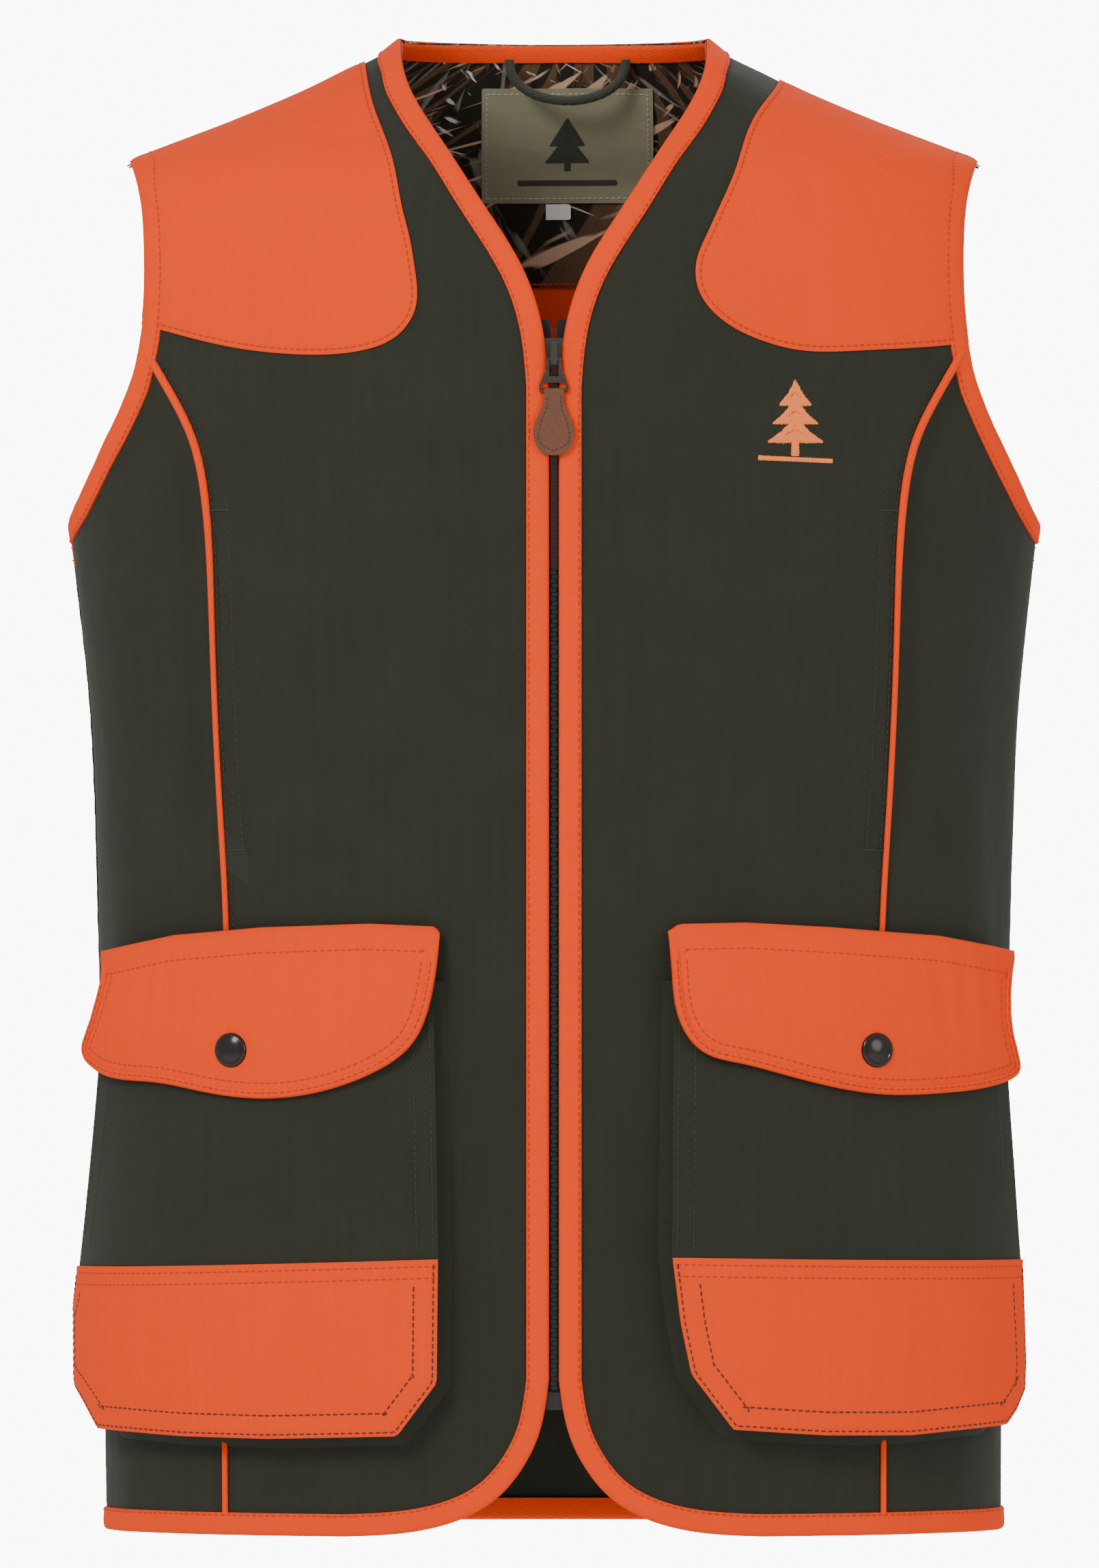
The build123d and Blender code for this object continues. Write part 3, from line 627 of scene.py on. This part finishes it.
pipe_sides = 10
binding_profile = [
    (9.8, 0.75), (9.7, 1.35), (9.0, 1.62), (7.6, 1.72), (4.6, 1.95), (2.0, 1.9), (0.7, 1.45), (0.05, 0.6),
    (0.0, -0.8), (0.8, -2.2), (2.4, -2.7), (7.0, -2.75), (9.6, -2.6), (9.8, -1.85),
]
right_profile = [(-d, o) for d, o in binding_profile]

PATCH = {
    1: [
        (100, 656), (96, 627), (90, 618.5), (85, 610), (79, 592), (71, 573), (65, 560), (61.5, 551),
        (62.2, 538), (72.4, 525), (88.5, 516.5), (108, 511.8), (131, 512), (169, 514.7), (186, 517),
    ],
    -1: [
        (84, 652), (81, 633), (78, 618.5), (75, 610), (69, 592), (65.3, 573), (62, 560), (59.7, 546.5),
        (59.4, 530), (67.4, 518), (82.7, 511.7), (100.6, 510), (121, 511), (141.5, 514), (164.8, 520),
        (186, 526),
    ],
}
for side, tag in ((1, "left"), (-1, "right")):
    cloth(
        f"front_center_{tag}_cloth", cloth_olive, "vest", [f"front_center_{tag}"], lambda t,
        z: front_region(t, z) & princess_region(t, z), border + [princess], -0.5, 0.45, side, step=5.5,
    )
    cloth(
        f"front_side_{tag}_cloth", cloth_olive, "vest", [f"front_side_{tag}"], lambda t,
        z: front_region(t, z) & ~princess_region(t, z) & (z < 523), [outer, arm, princess, hem], -0.5, 0.45,
        side, step=4.5,
    )
    edge = line(PATCH[side], 2.0)
    shape = within(np.vstack([edge, [(1.7, edge[-1, 1]), (1.7, 700), (edge[0, 0], 700)]]))
    inner = shift(edge, 2.2)
    swell = kdtree.KDTree(len(inner))
    for i, p in enumerate(base(inner[:, 0], inner[:, 1])):
        swell.insert(p, i)
    swell.balance()

    def quilt(t, z, tree=swell):
        away = np.array([tree.find(p)[2] for p in base(t, z)])
        return 0.25 - 0.34 * np.exp(-((away / 1.3) ** 2))

    cloth(
        f"shoulder_patch_{tag}_cloth", cloth_orange, "vest", [f"shoulder_patch_{tag}"], lambda t,
        z: front_region(t, z) & shape(t, z), [edge, shift(edge, 0.7), inner, shift(edge, 3.8), arm, ridge],
        0.6, 1.35, side, step=4.5, rise=quilt, tuck=0.45,
    )
    stitches(
        f"shoulder_patch_{tag}_thread", shaded_stitch_orange, "vest",
        [row(inner[front_region(inner[:, 0], inner[:, 1])], 1.45, side)],
    )
    band(
        f"front_binding_{tag}_cloth", bias_orange, "vest", [f"front_binding_{tag}"], front_edge,
        binding_profile, side,
    )
    band(
        f"armhole_binding_{tag}_cloth", bias_orange, "vest", [f"armhole_binding_{tag}"], arm_loop,
        right_profile, side, closed=True,
    )
    stitches(
        f"binding_{tag}_thread", shaded_stitch_orange, "vest",
        [row(shift(front_edge, 8.7), 1.72, side), row(shift(arm_loop, -8.7, True), 1.72, side)],
    )
    # Piping in the princess seam, and the hand pocket's mouth beside it.
    pipe = resample(princess[(princess[:, 1] > 9) & (princess[:, 1] < 513)], 2.2)
    t = turned(pipe[:, 0], side)
    width = 1.35 + 0.55 * smooth((pipe[:, 1] - 380) / 90)
    lie = slopes(t, pipe[:, 1])[2]
    cord_points = place(t, pipe[:, 1], 0.95)
    made = tube(
        f"princess_piping_{tag}_cloth", bias_orange, "vest", [f"princess_piping_{tag}"], cord_points, lie,
        1.0, 0.85, pipe_sides,
    )
    ring = np.array([v.co for v in made.data.vertices]) * 1000
    ring = ring.reshape(len(pipe), pipe_sides, 3) - cord_points[:, None]
    ring = ring * width[:, None, None] + cord_points[:, None]
    made.data.vertices.foreach_set("co", (ring * MM).ravel())
    made.data.update()
    inside_row = shift(pipe, -3.0)
    facing_row = shift(pipe[(pipe[:, 1] > 290) & (pipe[:, 1] < 450)], -9.5)
    stitches(
        f"princess_{tag}_thread", thread_olive, "vest",
        [row(inside_row, 0.55, side), row(facing_row, 0.5, side)], thick=0.3,
    )
    tacks = [np.array([(t0, z), (t0 - 0.052, z + 0.4)]) for z in (296, 443) for t0 in [np.interp(
        -z, -princess[:, 1], princess[:, 0],
    ) - 0.012]]
    stitches(
        f"bar_tack_{tag}_thread", thread_olive, "vest", [row(resample(p, 1), 0.6, side) for p in tacks],
        pitch=0.75, length=2.0, thick=0.36,
    )

# ---------------------------------------------------------------- back and yoke
flank = np.array([(side_seam, z) for z in np.linspace(0.5, foot_of_arm, 100)])


def level(z, limit=side_seam, n=160):
    return np.array([(v, z) for v in np.linspace(-limit, limit, n)])


def flip(path):
    return np.stack([-path[:, 0], path[:, 1]], -1)


def on_back(t, z):
    """Clear of both armholes and, below the shoulders, within the side seams."""
    return ~arm_region(t, z) & ~arm_region(-t, z) & (np.abs(t) < np.where(z > 560, 9, side_seam))


cloth(
    "back_panel_cloth", cloth_olive, "vest", ["back_panel"], lambda t, z: (z < 420.05) & (z > 1),
    [level(1), level(420.05), flank, flip(flank)], -0.5, 0.45, back=True, step=7,
)
top = level(649.6, QUARTER + 0.045, 60)
cloth(
    "back_yoke_cloth", cloth_orange, "vest", ["back_yoke"], lambda t, z: (z > 419.95) & on_back(t, z),
    [
        level(419.95), top, arm, flip(arm), behind, flip(behind), flank[flank[:, 1] > 420],
        flip(flank[flank[:, 1] > 420]),
    ],
    -0.5, 0.5, back=True, step=5.5,
)
cloth(
    "back_facing_cloth", lining, "vest", ["back_facing"], lambda t, z: (z > 544) & on_back(t, z),
    [level(544), top, arm, flip(arm), behind, flip(behind)], -1.6, -0.6, back=True, step=5.5, tuck=0,
)
band(
    "back_hem_binding_cloth", bias_orange, "vest", ["back_hem_binding"], resample(level(0), 3),
    binding_profile, 1, True,
)
neck_path = resample(level(649.6)[::-1], 2.5)
band(
    "neck_binding_cloth", bias_orange, "vest", ["neck_binding"], neck_path,
    [(d * 0.8, o) for d, o in binding_profile], 1, True,
)
yoke_rows = [row(level(v), 0.6, 1, True) for v in (422.5, 428)]
stitches(
    "back_thread", shaded_stitch_orange, "vest",
    yoke_rows + [row(level(8.7), 1.75, 1, True), row(shift(neck_path, 7), 1.75, 1, True)],
)
facing_edge = level(545.5, 0.96)
stitches(
    "facing_thread", shaded_stitch_orange, "vest", [row(facing_edge, -1.75, 1, True)], thick=0.5, pitch=2.4,
    length=2.2,
)

# The game pocket stands off the back, with its mouth bound.
game_bulge = cubic([20, 62, 130, 200, 290, 320], [12, 12, 12, 11.5, 9, 8])
game = on_cloth(
    drawn([(125, 300), (125, 82), (105, 62), (-105, 62), (-125, 82), (-125, 300)], True), game_bulge,
)
game = resample(game, 3)
game_shape = within(game)
mouth = resample(np.array([game[-1], game[0]]), 3)
cloth(
    "game_pocket_cloth", cloth_olive, "vest", ["game_pocket_panel"], game_shape, [game, mouth], 0, 1,
    back=True, stand=game_bulge, step=6,
)
band(
    "game_pocket_binding_cloth", bias_orange, "vest", ["game_pocket_binding"], mouth, right_profile, 1,
    True, stand=lambda z: game_bulge(z) + 0.5,
)
stitches(
    "game_pocket_thread", thread_olive, "vest",
    [row(shift(game, d), 1.1, 1, True, game_bulge) for d in (-2.5, -8.5)],
)
stitches("game_mouth_thread", shaded_stitch_orange, "vest", [row(shift(mouth, -8.7), 2.25, 1, True, game_bulge)])


def bellows(name, mat, nodes, path, bulge, side=1, back=False, outward=-4.0, body="vest", thick=0.7):
    """The pleated wall between a bulging pocket and the vest, in rows out to the pocket's edge."""
    rows = []
    for share, inward in ((0, outward), (0.22, outward * 0.2), (0.5, 3.4), (0.75, 1.0), (1, 0.25)):
        moved = shift(path, inward)
        lift = 0.6 + (bulge(path[:, 1]) - 0.4) * share
        crumple = 0.35 * np.sin(np.arange(len(path)) * 0.9 + 4 * share) * math.sin(HALF_TURN * share)
        rows.append(place(turned(moved[:, 0], side, back), moved[:, 1], lift + crumple))
    rows = np.stack(rows, 1)
    lean = np.cross(np.gradient(rows, axis=0), np.gradient(rows, axis=1))
    lean /= np.linalg.norm(lean, axis=2, keepdims=True) + 1e-9
    lean = -lean if (side < 0) != back else lean
    points = np.concatenate([rows, (rows - lean * thick)[:, ::-1]], 1)
    faces = sweep(points)
    if (side < 0) != back:
        faces = [f[::-1] for f in faces]
    run = np.arange(len(path)) * 3.0
    uv = np.stack(np.broadcast_arrays(run[:, None], (np.arange(10) * 4.0)[None, :]), -1)
    return make(name, points.reshape(-1, 3), faces, mat, body, nodes, uv.reshape(-1, 2), 50)


bellows("game_pocket_gusset_cloth", cloth_olive, ["game_pocket_gusset"], game[::-1], game_bulge, 1, True)

# ---------------------------------------------------------------- cargo pockets and their flaps
bulge = cubic([20, 60, 120, 200, 240, 270], [12.5, 12.5, 12, 9.5, 6.4, 3])
flap_bulge = cubic([150, 185, 210, 240, 255, 264, 276], [14, 13.6, 13, 9.5, 5.5, 2.2, 1.8])
POCKET = {
    1: [
        (195, 240), (203.3, 118.4), (204.6, 74), (204.2, 61.5), (201, 53), (197, 46.8), (157, 43.5),
        (119.8, 44), (79.4, 46.8), (60.8, 70.7), (56, 93), (52.4, 121), (53, 240),
    ],
    -1: [
        (195, 240), (206.6, 115.3), (208.2, 93), (208.2, 69), (207, 61.5), (198.3, 45), (163.9, 43),
        (126.5, 42.4), (69.4, 44), (51.8, 67), (51.2, 120.3), (53, 240),
    ],
}
BASE_TOP = {1: [(210, 118.3), (52, 121)], -1: [(212, 115.1), (50, 120.3)]}
FLAP_TOP = {
    1: [(199.8, 252.5), (166.4, 259.2), (119.8, 263), (82.4, 265.1), (54, 264.5), (49.4, 261.3)],
    -1: [(196.2, 252.3), (163.9, 259.5), (126.5, 262.9), (79.7, 264.6), (51.2, 263.4), (49.4, 260.4)],
}
FLAP_EDGE = {
    1: [
        (49.4, 261.3), (51.5, 246.6), (54, 227.8), (58.9, 216.6), (66.5, 209.2), (82.4, 204.5),
        (101, 199.8), (123.3, 194.2), (147.7, 190.7), (172, 191.3), (194.5, 195), (202, 199.8),
        (202, 205.4), (199.2, 218.3), (198.2, 233.3), (199.8, 252.5),
    ],
    -1: [
        (49.4, 260.4), (53.6, 235), (63, 212.7), (81.5, 199.8), (107.7, 191.3), (126.5, 189.2),
        (154.5, 191.9), (176.8, 196), (199.5, 200.7), (204.5, 207), (202, 220.4), (198.3, 233),
        (195.7, 245.7), (196.2, 252.3),
    ],
}


def nearest(path):
    points = base(path[:, 0], path[:, 1])
    tree = kdtree.KDTree(len(points))
    for i, p in enumerate(points):
        tree.insert(p, i)
    tree.balance()
    return lambda t, z: np.array([tree.find(p)[2] for p in base(t, z)])


for side, tag in ((1, "left"), (-1, "right")):
    pocket, flap = f"pocket_{tag}", f"flap_{tag}"
    outline = line(POCKET[side], 2.6, bulge, True)
    shape = within(outline)
    closing = resample(np.array([outline[-1], outline[0]]), 3)
    limit = line(BASE_TOP[side], 2.6, bulge)
    below = lambda t, z, limit=limit: z < np.interp(-t, -limit[:, 0], limit[:, 1])
    near_edge = nearest(outline)
    crown = lambda t, z, near=near_edge: 2.0 * smooth(near(t, z) / 42) - 0.15
    cloth(
        f"pocket_front_{tag}_cloth", cloth_olive, pocket, [f"pocket_front_{tag}"], shape,
        [outline, closing, shift(outline, -2)], 0, 0.8, side, stand=bulge, step=5, rise=crown,
    )
    dense = resample(outline[::-1], 1.6)
    two_rows = [shift(limit, d) for d in (3, 8)]
    near_rows = nearest(np.vstack(two_rows))

    def padded(t, z, near=near_rows, edge=near_edge):
        return 2.0 * smooth(edge(t, z) / 42) - 0.03 - 0.32 * np.exp(-((near(t, z) / 1.3) ** 2))

    cloth(
        f"pocket_base_{tag}_cloth", cloth_orange, pocket, [f"pocket_base_{tag}"], lambda t,
        z: shape(t, z) & below(t, z), [outline, shift(outline, -0.8), limit, shift(limit, 0.8), *two_rows],
        0.85, 1.85, side, stand=bulge, step=4, rise=padded, tuck=0.5,
    )
    lower = dense[below(dense[:, 0], dense[:, 1] + 1.5)]
    ring = shift(dense, 10)
    ring = ring[below(ring[:, 0], ring[:, 1] + 10) & shape(ring[:, 0], ring[:, 1])]
    ring = ring[nearest(outline)(ring[:, 0], ring[:, 1]) > 8.6]
    stitches(
        f"pocket_dark_{tag}_thread", thread_dark, pocket,
        [
            row(shift(lower, 1.7), 1.85, side, stand=bulge),
            row(ring, lambda t, z: 1.9 + padded(t, z), side, stand=bulge),
        ],
        thick=0.36,
    )
    stitches(
        f"pocket_base_{tag}_thread", shaded_stitch_orange, pocket,
        [row(
            p[shape(p[:, 0], p[:, 1])], lambda t, z: 1.9 + padded(t, z), side, stand=bulge,
        ) for p in two_rows],
    )
    halves = dense[: len(dense) // 2], dense[len(dense) // 2 :]
    walls = [shift(half, d) for d in (2, 9) for half in halves]
    walls = [p[(p[:, 1] > 122) & (p[:, 1] < 236)] for p in walls]
    stitches(
        f"pocket_front_{tag}_thread", thread_olive, pocket,
        [row(p, lambda t, z: 0.85 + crown(t, z), side, stand=bulge) for p in walls],
    )

    # The bellows, in five lengths.
    ways = outline[::-1]
    cuts = np.linspace(0, len(ways) - 1, 6).astype(int)
    for i in range(5):
        part = ways[cuts[i] : cuts[i + 1] + 1]
        made = bellows(
            f"pocket_gusset_{tag}_cloth_{i + 1}", cloth_olive, [f"pocket_gusset_{tag}"], part, bulge, side,
            body=None, outward=-4.5,
        )
        middle = part[len(part) // 2]
        t = np.array([turned(middle[0], side)])
        start, end = place(t, middle[1], 1.0)[0], place(t, middle[1], 0.0, bulge)[0]
        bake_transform(made)

    # The flap: faced, its free edge rolled, its folded top standing above the seam that holds it.
    free, fold = line(FLAP_EDGE[side], 2.4, flap_bulge), line(FLAP_TOP[side], 2.4, flap_bulge, True)
    lid = within(np.vstack([fold, free[1:-1]]))
    seam_row = shift(fold, 11)
    seam_row = seam_row[lid(seam_row[:, 0], seam_row[:, 1])]
    rows_in = []
    for depth in (2.4, 6.6):
        p = shift(free, depth)
        p = p[lid(p[:, 0], p[:, 1])]
        rows_in.append(p[nearest(fold)(p[:, 0], p[:, 1]) > 12])
    to_free, to_fold = nearest(free), nearest(fold)
    to_rows, to_seam = nearest(np.vstack(rows_in)), nearest(seam_row)
    gathers = 1.0 if side > 0 else 0.35

    def pillow(t, z, a=to_free, b=to_fold, c=to_rows, d=to_seam, g=gathers):
        x = (half_width(z) + 12) * np.sin(t)
        puff = 1.1 * smooth(a(t, z) / 26)
        roll = 1.1 * np.exp(-(((b(t, z) - 4.5) / 3.6) ** 2)) - 0.3
        stitched = -0.3 * np.exp(-((c(t, z) / 1.3) ** 2)) - 0.6 * np.exp(-((d(t, z) / 1.7) ** 2))
        pleats = g * 0.55 * np.sin(x * 0.62) * smooth((x - 150) / 25)
        pleats = pleats * smooth((198 - x) / 12) * np.exp(-(((z - 236) / 18) ** 2))
        ease = 0.35 * np.sin(x * 0.11 + z * 0.05) + 0.25 * np.sin(x * 0.05 - z * 0.13 + 1)
        return puff + roll + stitched + pleats + ease * smooth(a(t, z) / 15)

    cloth(
        f"pocket_flap_{tag}_cloth", cloth_orange, flap, [f"pocket_flap_{tag}", f"flap_lining_{tag}"], lid,
        [free, fold, shift(free, 0.8), shift(fold, 0.8), seam_row, *rows_in], 0, 1.9, side,
        stand=flap_bulge, step=3.4, rise=pillow, tuck=0.6,
    )
    rolled = [
        (3.6, 1.9), (3.2, 2.25), (1.8, 2.45), (0.5, 2.2), (0.0, 1.3), (0.1, 0.2), (0.8, -0.35), (3.0, -0.4),
    ]
    band(
        f"flap_binding_{tag}_cloth", bias_orange, flap, [f"flap_binding_{tag}"], free[2:-2], rolled, side,
        stand=flap_bulge,
    )
    stitches(
        f"flap_{tag}_thread", shaded_stitch_orange, flap,
        [
            row(rows_in[0], 2.5, side, stand=flap_bulge),
            row(rows_in[1], lambda t, z: 1.95 + pillow(t, z), side, stand=flap_bulge),
        ],
    )
    stitches(
        f"flap_seam_{tag}_thread", shaded_stitch_orange, flap,
        [row(seam_row, lambda t, z: 1.95 + pillow(t, z), side, stand=flap_bulge)],
    )
    # The snap's domed cap.
    where = np.array([math.asin(142.5 / (half_width(210) + 14))]) * side
    seat, axis = place(where, 210, 2.75, flap_bulge)[0], slopes(where, 210)[2][0]
    dome = [
        (0.01, 2.35), (1.6, 2.3), (3.4, 2.05), (5.0, 1.6), (6.2, 1.15), (6.9, 0.85), (7.3, 0.45),
        (7.5, -0.1), (7.4, -0.7), (6.6, -1.0), (0.01, -1.0),
    ]
    lathe(f"snap_cap_{tag}_metal", dark_metal, flap, [f"snap_cap_{tag}"], dome, seat, axis)
    lathe(
        f"snap_rim_{tag}_metal", dark_metal, flap, [],
        [(5.2, 1.45), (5.5, 1.72), (5.9, 1.55), (6.1, 1.1), (5.6, 0.9)], seat, axis,
    )

# ---------------------------------------------------------------- emblem, label, tag, loop
tree_shapes = []
for tier, reach in enumerate((13, 10.5, 7.5)):
    foot = 472 + 8 * tier
    tree_shapes.append([
        (104 - reach, foot), (104 + reach, foot), (104 + reach * 0.45, foot + 5.2), (104, foot + 11.5),
        (104 - reach * 0.45, foot + 5.2),
    ])
tree_shapes += [
    [(102.2, 466.5), (105.8, 466.5), (105.6, 472.5), (102.4, 472.5)],
    [(88, 464.5), (120, 463.3), (120, 465.2), (88, 466.6)],
]
threads = []
for number, corners in enumerate(tree_shapes):
    corners = np.array(corners, float)
    (low_x, low_z), (high_x, high_z) = corners.min(0), corners.max(0)
    upright = number != 3
    for v in np.arange(low_x + 0.2, high_x, 0.42) if upright else np.arange(low_z, high_z, 0.42):
        ends = []
        for (x0, z0), (x1, z1) in zip(corners, np.roll(corners, -1, axis=0)):
            a0, a1, b0, b1 = (x0, x1, z0, z1) if upright else (z0, z1, x0, x1)
            if (a0 > v) != (a1 > v):
                ends.append(b0 + (v - a0) * (b1 - b0) / (a1 - a0))
        if len(ends) >= 2 and max(ends) - min(ends) > 0.8:
            a, b = min(ends), max(ends)
            pieces = max(1, round((b - a) / 4.5))
            for k in range(pieces):
                p, q = a + (b - a) * k / pieces, a + (b - a) * (k + 1) / pieces
                pts = [(v, p), (v + 0.12, q)] if upright else [(p, v), (q, v + 0.1)]
                threads.append(row(line(pts, 0.8), 0.75))
points, faces = [], []
for p, n in threads:
    span = float(np.linalg.norm(p[-1] - p[0]))
    some, faced = sewn([(p, n)], pitch=span * 0.98, length=span * 1.05, thick=0.33)
    faces += [tuple(v + sum(map(len, points)) for v in f) for f in faced]
    points.append(some)
make("chest_emblem_thread", np.vstack(points), faces, embroidery, "vest", ["chest_emblem"], crisp=80)


def rectangle(x0, z0, x1, z1):
    return line([(x0, z0), (x1, z0), (x1, z1), (x0, z1), (x0, z0)], 1.5, 0, True)


# Seen from the front, the label's face is the inner side of the back, so x runs the other way round.
for name, mat, box, lower, upper in (
    ("neck_label", satin, (-32, 582, 44, 631), -2.6, -1.75),
    ("size_tag", white_satin, (-3.5, 574.6, 7.5, 581.4), -2.7, -1.9),
):
    shape = rectangle(*box)
    cloth(
        f"{name}_cloth", mat, "vest", [name], within(shape), [shape], lower, upper, 1, True, step=2.5,
        tuck=0,
    )
frame_row = rectangle(-29.8, 584.2, 41.8, 628.8)
stitches(
    "neck_label_thread", thread_pale, "vest", [row(frame_row, -2.7, 1, True)], pitch=2.6, length=1.9,
    thick=0.28,
)
for number, corners in enumerate((
    [(-4, 600), (16, 600), (6, 612)], [(-2, 607), (14, 607), (6, 619)],
    [(4.6, 596.5), (7.4, 596.5), (7.4, 600), (4.6, 600)],
    [(-16, 590), (28, 590), (28, 592.4), (-16, 592.4)],
)):
    shape = line([*corners, corners[0]], 1.5, 0, True)
    cloth(
        f"label_motif_{number + 1}", ink_olive, "vest", [], within(shape), [shape], -2.78, -2.6, 1, True,
        step=2.5, tuck=0,
    )

angle = np.linspace(0, HALF_TURN, 90)
loop = np.stack(
    [6 - 25.5 * np.cos(angle), 43.1 + 0.2 * np.sin(angle), 642.5 - 18 * np.sin(angle) ** 0.85], -1,
)
tube(
    "hanging_loop_cord", cord_cloth, "loop", ["hanging_loop"], loop, np.tile((0.0, -1.0, 0.0), (90, 1)),
    2.0, sides=24, twist=1.5, rib=0.07, ribs=6,
)
# The leather tab's stitching.
half_tab = cubic([0, 6, 13, 19, 24, 27], [2.9, 3.3, 5.6, 6.6, 5.0, 0.2])
down = np.linspace(0, 27, 60)
tab_line = np.concatenate([
    np.stack([-half_tab(down), 491.8 - 0.87 * down], -1),
    np.stack([half_tab(down), 491.8 - 0.87 * down], -1)[::-1],
])
tab_rows = [(
    np.stack([tab_line[:, 0], np.full(120, -104.08), tab_line[:, 1]], -1),
    np.tile((0.0, -1.0, 0.0), (120, 1)),
)]
stitches("pull_tab_thread", thread_dark, "tab", tab_rows, pitch=2.0, length=1.45, thick=0.22)


# ---------------------------------------------------------------- pieces that keep their CAD shape
def finish_node(name, mat, round_by=0.0):
    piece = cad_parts[name]
    piece.data.materials.clear()
    piece.data.materials.append(mat)
    if round_by:
        soft = piece.modifiers.new("rounding", "BEVEL")
        soft.width, soft.segments = round_by * MM, 3
        soft.limit_method, soft.angle_limit = "ANGLE", math.radians(35)
        soft.use_clamp_overlap = True


for tag in ("left", "right"):
    finish_node(f"zip_tape_{tag}", tape_cloth)
    finish_node(f"zip_teeth_{tag}", moulded)
    finish_node(f"zip_top_stop_{tag}", moulded)
    finish_node(f"hand_pocket_bag_{tag}", bag_cloth)
    for part in ("socket", "stud", "post"):
        finish_node(f"snap_{part}_{tag}", dark_metal)
finish_node("zip_bottom_box", moulded, 0.4)
finish_node("zip_insertion_pin", moulded)
finish_node("zip_slider_body", zip_metal, 0.45)
finish_node("zip_pull", zip_metal, 0.3)
finish_node("pull_tab", leather, 0.45)

# ---------------------------------------------------------------- floor, light and camera
def lit(tree, shader, colour):
    """The floor glows a little where the camera sees it, and lights nothing."""
    seen_directly = tree.nodes.new("ShaderNodeLightPath").outputs["Is Camera Ray"]
    tree.links.new(maths(tree, "MULTIPLY", seen_directly, 2.4), shader.inputs["Emission Strength"])


floor = bpy.data.meshes.new("floor")
floor.from_pydata([(-6, -6, -0.45), (6, -6, -0.45), (6, 6, -0.45), (-6, 6, -0.45)], [], [(0, 1, 2, 3)])
ground = bpy.data.objects.new("floor", floor)
ground.data.materials.append(material(
    "floor", (0.92, 0.92, 0.92), 0.9, build=lit, Specular_IOR_Level=0.1, Emission_Color=(1, 1, 1, 1),
))
bpy.context.scene.collection.objects.link(ground)

world = bpy.data.worlds.new("studio")
bpy.context.scene.world = world
world.use_nodes = True
glow = world.node_tree.nodes["Background"]
glow.inputs["Color"].default_value = (1.0, 1.0, 1.0, 1)
seen = world.node_tree.nodes.new("ShaderNodeLightPath").outputs["Is Camera Ray"]
backdrop = maths(world.node_tree, "MULTIPLY", seen, 9.0)
world.node_tree.links.new(maths(world.node_tree, "ADD", backdrop, 0.85), glow.inputs["Strength"])


def lamp(name, place_at, aim, size, power):
    data = bpy.data.lights.new(name, "AREA")
    data.shape, data.size, data.energy = "DISK", size, power
    made = bpy.data.objects.new(name, data)
    made.location = place_at
    made.rotation_mode = "QUATERNION"
    made.rotation_quaternion = (Vector(aim) - Vector(place_at)).to_track_quat("-Z", "Y")
    bpy.context.scene.collection.objects.link(made)


lamp("key", (-1.5, -2.4, 2.0), (0, 0, 0.33), 1.0, 56)
lamp("fill", (2.0, -2.2, 0.9), (0, 0, 0.33), 1.6, 18)
lamp("back", (0.6, 2.4, 1.8), (0, 0, 0.4), 1.4, 24)

view = bpy.data.cameras.new("camera")
view.sensor_width, view.lens = 36, 421
view.clip_start, view.clip_end = 0.1, 100
camera = bpy.data.objects.new("camera", view)
camera.location = (-0.0019, -8.0, 0.3248)
camera.rotation_euler = (QUARTER, 0, 0)
bpy.context.scene.collection.objects.link(camera)
bpy.context.scene.camera = camera
